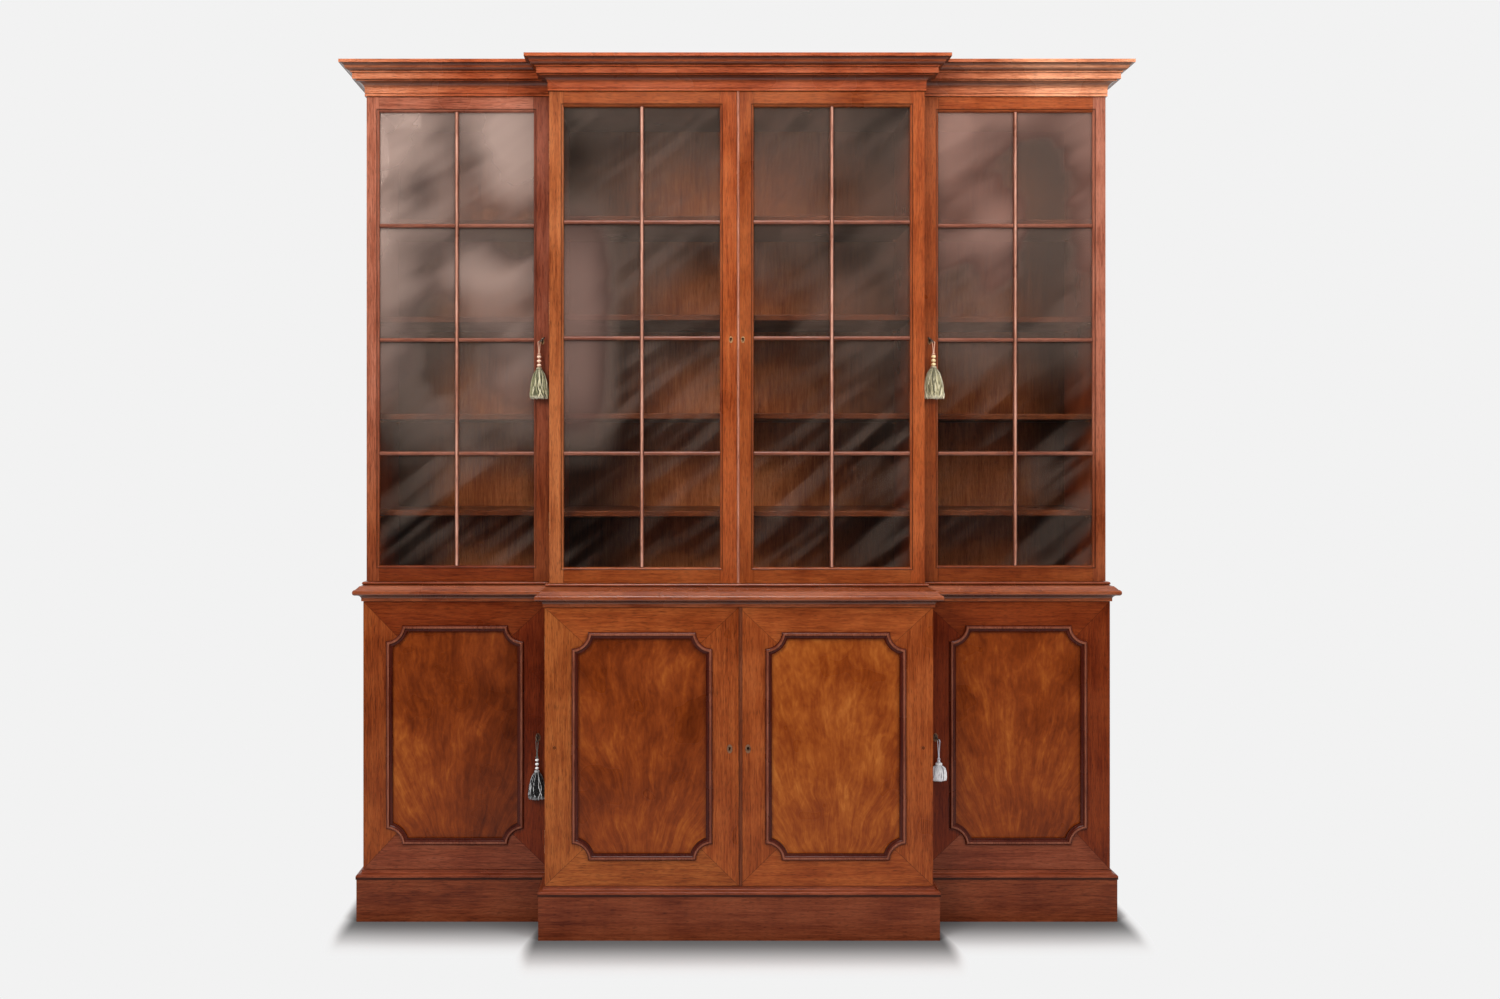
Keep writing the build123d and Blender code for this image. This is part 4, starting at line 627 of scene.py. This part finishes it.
# Panels: seed, how golden, and how much more so to the right and upward. Glass: seed, tone of the bloom and
# painted reflection, their amount above and below, the share of the height below which they thin, and the
# painted window reflection's band.
PANEL_LOOKS = {
    "left_wing": (3.1, 0.46, -0.07, 0.0), "left_centre": (5.3, 0.48, 0.0, -0.02),
    "right_centre": (8.7, 0.58, -0.02, 0.0), "right_wing": (11.9, 0.49, -0.03, 0.01)}
GLASS_LOOKS = {
    "left_wing": (2.9, "#AE988E", 0.46, 0.0, 0.16), "left_centre": (4.9, "#A0847A", 0.03, 0.0, 0.2, 0.22),
    "right_centre": (7.2, "#986450", 0.045, 0.0, 0.2), "right_wing": (9.6, "#AC8A7E", 0.35, 0.0, 0.36)}
for number, (side, place) in enumerate(
        (side, place) for side in ("left", "right") for place in ("wing", "centre")):
    for storey in ("upper", "lower"):
        door = f"{storey}_{side}_{place}"
        low_door = storey == "lower"
        hinge_stile, free_stile = STILES[storey][place]
        stiles = (hinge_stile, free_stile) if side == "left" else (free_stile, hinge_stile)
        widths = [value * MM for value in (*stiles, *RAILS[storey])]
        tones = [TONES[tone] for tone in FRAME_TONES[door]] + [BEAD_TONES[storey]]
        beaded = side == "right" and place == "centre"
        dress(f"{door}_frame", framed(
            f"polished_{door}_frame", f"{door}_frame", widths, low_door, tones,
            seed=2.3 + number * 1.9 + low_door * 0.8, gloss=FRAME_GLOSS[storey],
            proud=BEAD_PROUD if beaded else 0.0, plug=PLUG[side] if low_door and place == "centre" else None,
            foot=None if low_door or place == "centre" else TONES["chestnut"]))
        dress(f"{door}_brasses", tarnished if low_door else brass)
    upper, lower = f"upper_{side}_{place}", f"lower_{side}_{place}"
    dress(f"{upper}_glazing_bars", barred(f"{upper}_bar_mahogany", f"{upper}_glazing_bars", 0.9 + number))
    dress(f"{upper}_glass", old_glass(f"{upper}_old_glass", f"{upper}_glass",
                                      *GLASS_LOOKS[f"{side}_{place}"]))
    seed, gold, slope_x, slope_z = PANEL_LOOKS[f"{side}_{place}"]
    dress(f"{lower}_panel", flamed(f"{lower}_flame_veneer", f"{lower}_panel", seed, gold, slope_x, slope_z))
    dress(f"{lower}_moulding", moulded(f"{lower}_moulding_mahogany", f"{lower}_moulding", 6.1 + number))


def ringed(name, rings, finish_of_piece, shades):
    """A closed mesh from rings[piece, row, side]: quads between rings and a flat cap at each end.

    The point attributes shade and along hold the piece's own shade and its row's share; the strand map holds
    turns round the strand and rows along it."""
    count, rows, sides, _ = rings.shape
    index = np.arange(count * rows * sides).reshape(count, rows, sides)
    after = np.roll(index, -1, axis=2)
    quads = np.stack([index[:, :-1], after[:, :-1], after[:, 1:], index[:, 1:]], axis=-1).reshape(-1, 4)
    caps = np.concatenate([index[:, 0, ::-1], index[:, -1]])
    mesh = bpy.data.meshes.new(name)
    mesh.from_pydata(rings.reshape(-1, 3), [], quads.tolist() + caps.tolist())
    row, column = np.meshgrid(np.arange(rows - 1), np.arange(sides), indexing="ij")
    corners = np.stack([np.stack([column + i, row + j], axis=-1)
                        for i, j in ((0, 0), (1, 0), (1, 1), (0, 1))], axis=2) / (sides, 4)
    layout = np.zeros((len(mesh.loops), 2))
    layout[:quads.size] = np.broadcast_to(corners, (count, *corners.shape)).reshape(-1, 2)
    mesh.uv_layers.new(name="strand").data.foreach_set("uv", layout.ravel())
    along = np.broadcast_to(np.linspace(0, 1, rows)[None, :, None], (count, rows, sides))
    own = np.broadcast_to(np.asarray(shades)[:, None, None], (count, rows, sides))
    for label, values in (("shade", own), ("along", along)):
        mesh.attributes.new(label, "FLOAT", "POINT").data.foreach_set("value", values.ravel())
    shell = bmesh.new()
    shell.from_mesh(mesh)
    bmesh.ops.recalc_face_normals(shell, faces=shell.faces)
    shell.to_mesh(mesh)
    shell.free()
    mesh.shade_smooth()
    mesh.materials.append(finish_of_piece)
    return linked(name, mesh)


def turned(centre, heights, radii, sides=32, squash=1.0, flutes=0, depth=0.0, twist=0.0):
    """Rings of a turned body: radius(row), pressed to an oval by squash, with flutes that may wind round.

    r = radius (1 + depth cos(flutes a + twist v)), at angle a and share v of the height."""
    share = np.linspace(0, 1, len(heights))[:, None]
    angle = np.linspace(0, 2 * np.pi, sides, endpoint=False)[None, :]
    radius = np.asarray(radii)[:, None] * (1 + depth * np.cos(flutes * angle + twist * share))
    rings = np.stack([centre[0] + radius * np.cos(angle), centre[1] + squash * radius * np.sin(angle),
                      np.broadcast_to(np.asarray(heights)[:, None], radius.shape)], axis=-1)
    return rings[None]


def strands(paths, radii, sides):
    """Round strands along paths[strand, row]: each ring is square to its path."""
    run = np.gradient(paths, axis=1)
    run /= np.linalg.norm(run, axis=-1, keepdims=True)
    across = np.cross(run, (0.0, 1.0, 0.0))
    across /= np.linalg.norm(across, axis=-1, keepdims=True)
    other = np.cross(run, across)
    angle = np.linspace(0, 2 * np.pi, sides, endpoint=False)[None, None, :, None]
    return paths[:, :, None] + radii[:, :, None, None] * (
        np.cos(angle) * across[:, :, None] + np.sin(angle) * other[:, :, None])


# The outline of a hanging skirt: shares of its height, and of its spread from the head to the hem.
SKIRT_FALL = (0.0, 0.2, 0.5, 0.85, 1.0)
BELL = (0.0, 0.5, 0.82, 1.0, 0.94)
SHOULDERED = (0.0, 0.74, 0.95, 1.0, 0.94)
ROWS = 22


def skirt_paths(centre, top, bottom, head, halves, shape, count, reach, radius, sway, seed):
    """Strand centre lines that leave the head evenly round it and fall to the skirt's oval hem.

    At share t of the fall, the oval's half sizes are head + (half - head) spread(t), less the strand's radius
    and times its reach; each strand sways sideways as sin of its own phase, and ends a little short."""
    chance = np.random.default_rng(seed)
    t = np.linspace(0, 1, ROWS)[None, :]
    spread = np.interp(t, SKIRT_FALL, shape)
    start = 2 * np.pi * (np.arange(count) + chance.uniform(-0.3, 0.3, count))[:, None] / count
    phase = chance.uniform(0, 2 * np.pi, count)[:, None]
    waves = chance.uniform(0.6, 1.3, count)[:, None]
    turn = start + sway * t * np.sin(2 * np.pi * waves * t + phase)
    within = reach * (1 - 0.10 * chance.uniform(0, 1, count)[:, None] * t)
    wide, deep = (head + (half - head) * spread - radius for half in halves)
    short = chance.uniform(0, 0.09, count)[:, None]
    height = top + (bottom - top) * t * (1 - short)
    return np.stack([centre[0] + within * wide * np.cos(turn), centre[1] + within * deep * np.sin(turn),
                     height], axis=-1)


def ball(low, high, radius, rows=13, flat=0.12):
    """Heights and radii of a flattened ball, flat where the cord passes, to this angle off its axis."""
    angle = np.linspace(flat, np.pi - flat, rows)
    return (low + high) / 2 + (high - low) / 2 * np.cos(angle) / math.cos(flat), radius * np.sin(angle)


GREEN_CREAM = ((0.0, "#3A3A24"), (0.35, "#6E6C4A"), (0.65, "#9A9472"), (1.0, "#D0C6A6"))
PALE_GREEN = ((0.0, "#504C36"), (0.35, "#8E8766"), (0.65, "#BAB08E"), (1.0, "#E0D6B8"))
BLACK_WHITE = ((0.0, "#050607"), (0.62, "#0E1012"), (0.7, "#8A8C8E"), (1.0, "#E4E4E4"))
SILVER = ((0.0, "#6E6A70"), (0.12, "#C6C3C8"), (0.4, "#F0EEF0"), (1.0, "#FFFFFF"))
# In mm. halves are the hem's half sizes, strand is a strand's radius, and sway is in radians.
TASSELS = {
    "upper_left": dict(slot="green_cream_tassel", stops=GREEN_CREAM, tips="#E0D6BC", bead="#EFC9AE",
                       cord="#D9A78C", beads=3, bead_radius=6.4, pitch=12, head=8, head_height=4.5,
                       halves=(29, 15), count=44, strand=1.9, sway=0.34, seed=11),
    "upper_right": dict(slot="green_cream_tassel", stops=PALE_GREEN, tips="#EAE0C4", bead="#EBD2A0",
                        cord="#E6B79C", beads=3, bead_radius=6.7, pitch=11, head=8.5, head_height=4,
                        halves=(32, 16), count=52, strand=1.9, sway=0.3, seed=12),
    "lower_left": dict(slot="black_tassel", stops=BLACK_WHITE, tips="#B4B6B8", bead="#F2F2F0",
                       cord="#5E635C", beads=3, bead_radius=5.5, pitch=11.6, head=7.5, head_height=5,
                       halves=(26.5, 15), count=58, strand=1.3, sway=0.3, seed=13),
    "lower_right": dict(slot="white_tassel", stops=SILVER, tips="#F4F4F4", bead="#E9E9EE",
                        cord="#D9D9E2", beads=1, bead_radius=4.4, pitch=7.9, head=9, head_height=8,
                        halves=(23.5, 14), count=66, strand=1.1, sway=0.12, seed=14),
}
KNOT_HEIGHT = 4 * MM
KNOT_RADIUS = 4.6 * MM
BEAD_FLATNESS = 0.7
THREAD_RADIUS = 1.6 * MM
CORD_RADIUS = 1.1 * MM
LOOP_RADIUS = 3.05 * MM
# Shares of the head: its radius at the top, where its dome ends, the turns and depth of its binding, and the
# height, spread and depth of the white one's waist.
NECK = 0.42
DOME_END = 0.45
BINDING = (7, 0.06)
WAIST = (0.95, 0.12, 0.28)
# The skirt: each layer's reach and count, a strand's swell along it, and the start and spread of the core,
# which is painted shade between the strands.
LAYERS = ((1.0, 1.0), (0.86, 0.8), (0.62, 0.5))
SWELL = ((0, 0.1, 0.5, 0.93, 1), (0.45, 0.55, 0.85, 1.0, 0.45))
CORE = (0.8, 0.72)

for place, look in TASSELS.items():
    dress(f"{place}_bolt", brass)
    dress(f"{place}_key", steel)
    node = body = f"{place}_tassel"
    low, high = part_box(node)
    centre = ((low[0] + high[0]) / 2, (low[1] + high[1]) / 2)
    silk = yarn(f"{place}_tassel_silk", look["stops"], 0.5 * MM, look["tips"])
    gloss = bead_gloss(f"{place}_bead_paint", look["bead"])
    twisted = plain_yarn(f"{place}_cord_silk", look["cord"])
    head, strand = look["head"] * MM, look["strand"] * MM
    halves = [value * MM for value in look["halves"]]
    parts = []

    level = high[2] - KNOT_HEIGHT
    heights, radii = ball(level, high[2], KNOT_RADIUS)
    parts.append(ringed(f"{place}_cord_knot", turned(centre, heights, radii, flutes=3, depth=0.14, twist=5.0),
                        twisted, [0.5]))
    radius, pitch = look["bead_radius"] * MM, look["pitch"] * MM
    thread = turned(centre, [level - look["beads"] * pitch, level], [THREAD_RADIUS] * 2, sides=12)
    parts.append(ringed(f"{place}_bead_thread", thread, twisted, [0.5]))
    for number in range(look["beads"]):
        middle = level - pitch / 2
        half = BEAD_FLATNESS * radius
        heights, radii = ball(middle - half, middle + half, radius, rows=17)
        parts.append(ringed(f"{place}_bead_{number + 1}", turned(centre, heights, radii, sides=36), gloss,
                            [0.9]))
        level -= pitch

    # The head is bound with turns of thread; the white tassel's is a fluted ruff.
    ruffed = place == "lower_right"
    skirt_top = level - look["head_height"] * MM
    share = np.linspace(0, 1, 57)
    dome = np.sqrt(np.clip(1 - (1 - share / DOME_END) ** 2, 0, 1)) * (share < DOME_END) + (share >= DOME_END)
    turns, groove = BINDING
    radii = head * (NECK + (1 - NECK) * dome)
    if ruffed:
        waist, width, drawn_in = WAIST
        radii *= 1 - drawn_in * np.exp(-((share - waist) / width) ** 2)
        winding = dict(flutes=15, depth=0.09)
    else:
        radii *= 1 - groove * np.abs(np.sin(turns * np.pi * share))
        winding = dict(flutes=30, depth=0.02, twist=3.0)
    heights = level + (skirt_top - level) * share
    parts.append(ringed(f"{place}_tassel_head", turned(centre, heights, radii, sides=60, **winding), silk,
                        [0.85]))

    # A core fills the skirt behind its strands, in a dark shade of the yarn, as painted shade between them.
    fall = np.linspace(0, 0.97, ROWS)
    shape = SHOULDERED if ruffed else BELL
    heights = skirt_top + (low[2] - skirt_top) * fall
    core = head * CORE[0] + (halves[0] - head) * CORE[1] * np.interp(fall, SKIRT_FALL, shape)
    squash = 1 - (1 - halves[1] / halves[0]) * 0.9
    inside = turned(centre, heights, core, squash=squash, sides=48, flutes=24, depth=0.05, twist=0.6)
    parts.append(ringed(f"{place}_skirt_shade_core", inside, silk, [0.12]))

    paths = np.concatenate([
        skirt_paths(centre, skirt_top + 1.5 * MM, low[2], head * 0.86, halves, shape,
                    round(look["count"] * part), reach, strand, look["sway"], look["seed"] + 10 * layer)
        for layer, (reach, part) in enumerate(LAYERS)])
    chance = np.random.default_rng(look["seed"])
    swell = np.interp(np.linspace(0, 1, ROWS), *SWELL)
    radii = strand * swell[None, :] * chance.uniform(0.85, 1.12, len(paths))[:, None]
    parts.append(ringed(f"{place}_skirt", strands(paths, radii, 7), silk,
                        chance.uniform(0, 1, len(paths))))
    for piece in parts:
        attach(piece, body)
        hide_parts(node)

    # The cord goes up from the knot, over the bow of the key and back.
    cord_low, cord_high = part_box(f"{place}_key_cord")
    drop = cord_high[2] - LOOP_RADIUS - CORD_RADIUS - cord_low[2]
    across = LOOP_RADIUS + 0.1 * MM
    side_up = ((1.15 * MM, -1 * MM), (1.2 * MM, 0.3 * drop), (2.5 * MM, 0.74 * drop),
               (across, drop - across), (across, drop + across))
    route = [(-x, z) for x, z in side_up] + [(x, z) for x, z in reversed(side_up)]
    points = np.array([(centre[0] + x, centre[1], cord_low[2] + z, 1.0) for x, z in route])
    curve = bpy.data.curves.new(f"{place}_hanging_cord", "CURVE")
    curve.dimensions = "3D"
    spline = curve.splines.new("NURBS")
    spline.points.add(len(points) - 1)
    spline.points.foreach_set("co", points.ravel())
    spline.order_u = 3
    spline.use_endpoint_u = True
    curve.resolution_u = 16
    curve.bevel_depth = CORD_RADIUS
    curve.bevel_resolution = 3
    curve.use_fill_caps = True
    curve.materials.append(twisted)
    cord = linked(f"{place}_hanging_cord", curve)
    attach(cord, body)
    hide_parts(f"{place}_key_cord")

# The floor takes the object's shadow, with a painted contact shadow round the plinth, and fades to the
# backdrop's pale grey.
BACKDROP = "#F2F2F2"
PAPER_END = 1.7
BREAK = 150 * MM
CENTRE_HALF = 547.5 * MM
FLOOR_REACH = 30.0
# Where the floor fades, the painted contact shadow's width and tones, and how much sooner both end sideways.
FADE = (0.15, 0.28)
CONTACT_SHADOW_WIDTH = 0.24
CONTACT_SHADOW_TONES = (0.12, 0.74)
SIDE_PACE = 5
floor_finish, tree = material("pale_studio_floor")
place = add(tree, "TexCoord", output="Object")
plinth_low, plinth_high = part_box("plinth_boards")
distances = []
for wide, front in ((plinth_high[0], plinth_low[1] + BREAK), (CENTRE_HALF, plinth_low[1])):
    middle, deep = (front + plinth_high[1]) / 2, (plinth_high[1] - front) / 2
    centred = add(tree, "VectorMath", {0: place, 1: (0, middle, 0)}, operation="SUBTRACT")
    folded = add(tree, "VectorMath", {0: centred}, operation="ABSOLUTE")
    beyond = add(tree, "VectorMath", {0: folded, 1: (wide, deep, 0)}, operation="SUBTRACT")
    outside = add(tree, "VectorMath", {0: beyond, 1: (0, 0, 0)}, operation="MAXIMUM")
    outside = add(tree, "VectorMath", {0: outside, 1: (SIDE_PACE, 1, 1)}, operation="MULTIPLY")
    distances.append(add(tree, "VectorMath", {0: outside}, output="Value", operation="LENGTH"))
away = add(tree, "Math", {0: distances[0], 1: distances[1]}, operation="MINIMUM")
fade = add(tree, "MapRange", {"Value": away, "From Min": FADE[0], "From Max": FADE[1]}, **SMOOTH)
ray = add(tree, "LightPath").node.outputs
seen = add(tree, "Math", {0: ray["Is Camera Ray"], 1: ray["Is Glossy Ray"]}, operation="MAXIMUM")
seen = add(tree, "Math", {0: seen, 1: ray["Is Transmission Ray"]}, operation="MAXIMUM")
share = add(tree, "Math", {0: fade, 1: seen}, operation="MULTIPLY")
contact_shadow = add(tree, "MapRange", {
    "Value": away, "From Max": CONTACT_SHADOW_WIDTH, "To Min": CONTACT_SHADOW_TONES[0], "To Max": CONTACT_SHADOW_TONES[1]},
    **SMOOTH)
paper = add(tree, "BsdfPrincipled", {"Base Color": contact_shadow, "Roughness": 0.8, "Specular IOR Level": 0.2})
# Polish mirrors only the near part of the pale paper; the studio's floor beyond it is dim.
ahead = add(tree, "SeparateXYZ", {0: place}, output=1)
near = add(tree, "MapRange", {
    "Value": ahead, "From Min": -PAPER_END - 0.5, "From Max": -PAPER_END, "To Min": 0.04, "To Max": 0.8},
    **SMOOTH)
strength = add(tree, "Mix", {0: ray["Is Glossy Ray"], 2: 1.0, 3: near})
glow = add(tree, "Emission", {"Color": linear(BACKDROP), "Strength": strength})
finish(floor_finish, add(tree, "MixShader", {0: share, 1: paper, 2: glow}))
floor_mesh = bpy.data.meshes.new("studio_floor")
corners = [(x * FLOOR_REACH, y * FLOOR_REACH, 0) for x, y in ((-1, -1), (1, -1), (1, 1), (-1, 1))]
floor_mesh.from_pydata(corners, [], [(0, 1, 2, 3)])
floor_mesh.materials.append(floor_finish)
linked("studio_floor", floor_mesh)

# The world is the pale backdrop to the eye and in reflections, with the dimmer studio behind the camera.
# A pane's inner face also mirrors the front, as light that comes out through the glass: SEEN_THROUGH dims it.
AMBIENT = 0.5
SEEN_THROUGH = 0.08
STUDIO_GLOW = (0.005, 0.1)
world = bpy.data.worlds.new("studio")
bpy.context.scene.world = world
world.use_nodes = True
tree = world.node_tree
tree.nodes.clear()
ray = add(tree, "LightPath").node.outputs
direction = add(tree, "TexCoord", output="Generated")
ahead = add(tree, "SeparateXYZ", {0: direction}, output=1)
frontward = add(tree, "MapRange", {"Value": ahead, "From Min": -0.3, "From Max": -0.75}, **SMOOTH)
slanted = add(tree, "Mapping", {
    "Vector": direction, "Rotation": (0, math.radians(40), 0), "Scale": (0.3, 1, 1)})
windows = add(tree, "TexNoise", {"Vector": slanted, "Scale": 9.0, "Detail": 1.0, "Distortion": 0.4})
studio = add(tree, "MapRange", {
    "Value": windows, "From Min": 0.44, "From Max": 0.64, "To Min": STUDIO_GLOW[0], "To Max": STUDIO_GLOW[1]})
mirrored = add(tree, "Mix", {0: frontward, 2: 1.0, 3: studio})
through = add(tree, "Mix", {0: frontward, 2: 1.0, 3: SEEN_THROUGH})
level = add(tree, "Mix", {0: ray["Is Glossy Ray"], 2: AMBIENT, 3: mirrored})
level = add(tree, "Mix", {0: ray["Is Transmission Ray"], 2: level, 3: through})
strength = add(tree, "Mix", {0: ray["Is Camera Ray"], 2: level, 3: 1.0})
backdrop = add(tree, "Background", {"Color": linear(BACKDROP), "Strength": strength})
add(tree, "OutputWorld", {"Surface": backdrop})


def softbox(name, place, target, size, power, mirrored):
    """A square soft lamp turned to its target, which polish and glass may mirror or not."""
    lamp = bpy.data.lights.new(name, "AREA")
    lamp.size = size
    lamp.energy = power
    holder = linked(name, lamp)
    holder.location = place
    facing = np.array(place) - np.array(target)
    holder.rotation_euler = (math.atan2(math.hypot(facing[0], facing[1]), facing[2]), 0.0,
                             math.atan2(facing[0], -facing[1]))
    holder.visible_glossy = mirrored


softbox("key_softbox", (-2.8, -4.4, 3.6), (0, 0, 1.2), 2.0, 185, False)
softbox("fill_softbox", (3.2, -3.4, 3.2), (0.4, 0, 1.5), 2.0, 100, False)
softbox("top_softbox", (0.0, -2.2, 4.4), (0, 0, 1.6), 1.6, 80, True)

# The view was fitted to the photograph's corners.
camera = bpy.data.cameras.new("photograph_view")
camera.sensor_fit = "HORIZONTAL"
camera.sensor_width = 36
camera.lens = 32.54
camera.shift_x = 0.0453
camera.shift_y = -0.0297
viewpoint = linked("photograph_view", camera)
viewpoint.location = (-0.155, -3.962, 1.32)
viewpoint.rotation_euler = (math.pi / 2, 0, 0)
bpy.context.scene.camera = viewpoint
bpy.context.scene.view_settings.view_transform = "Standard"
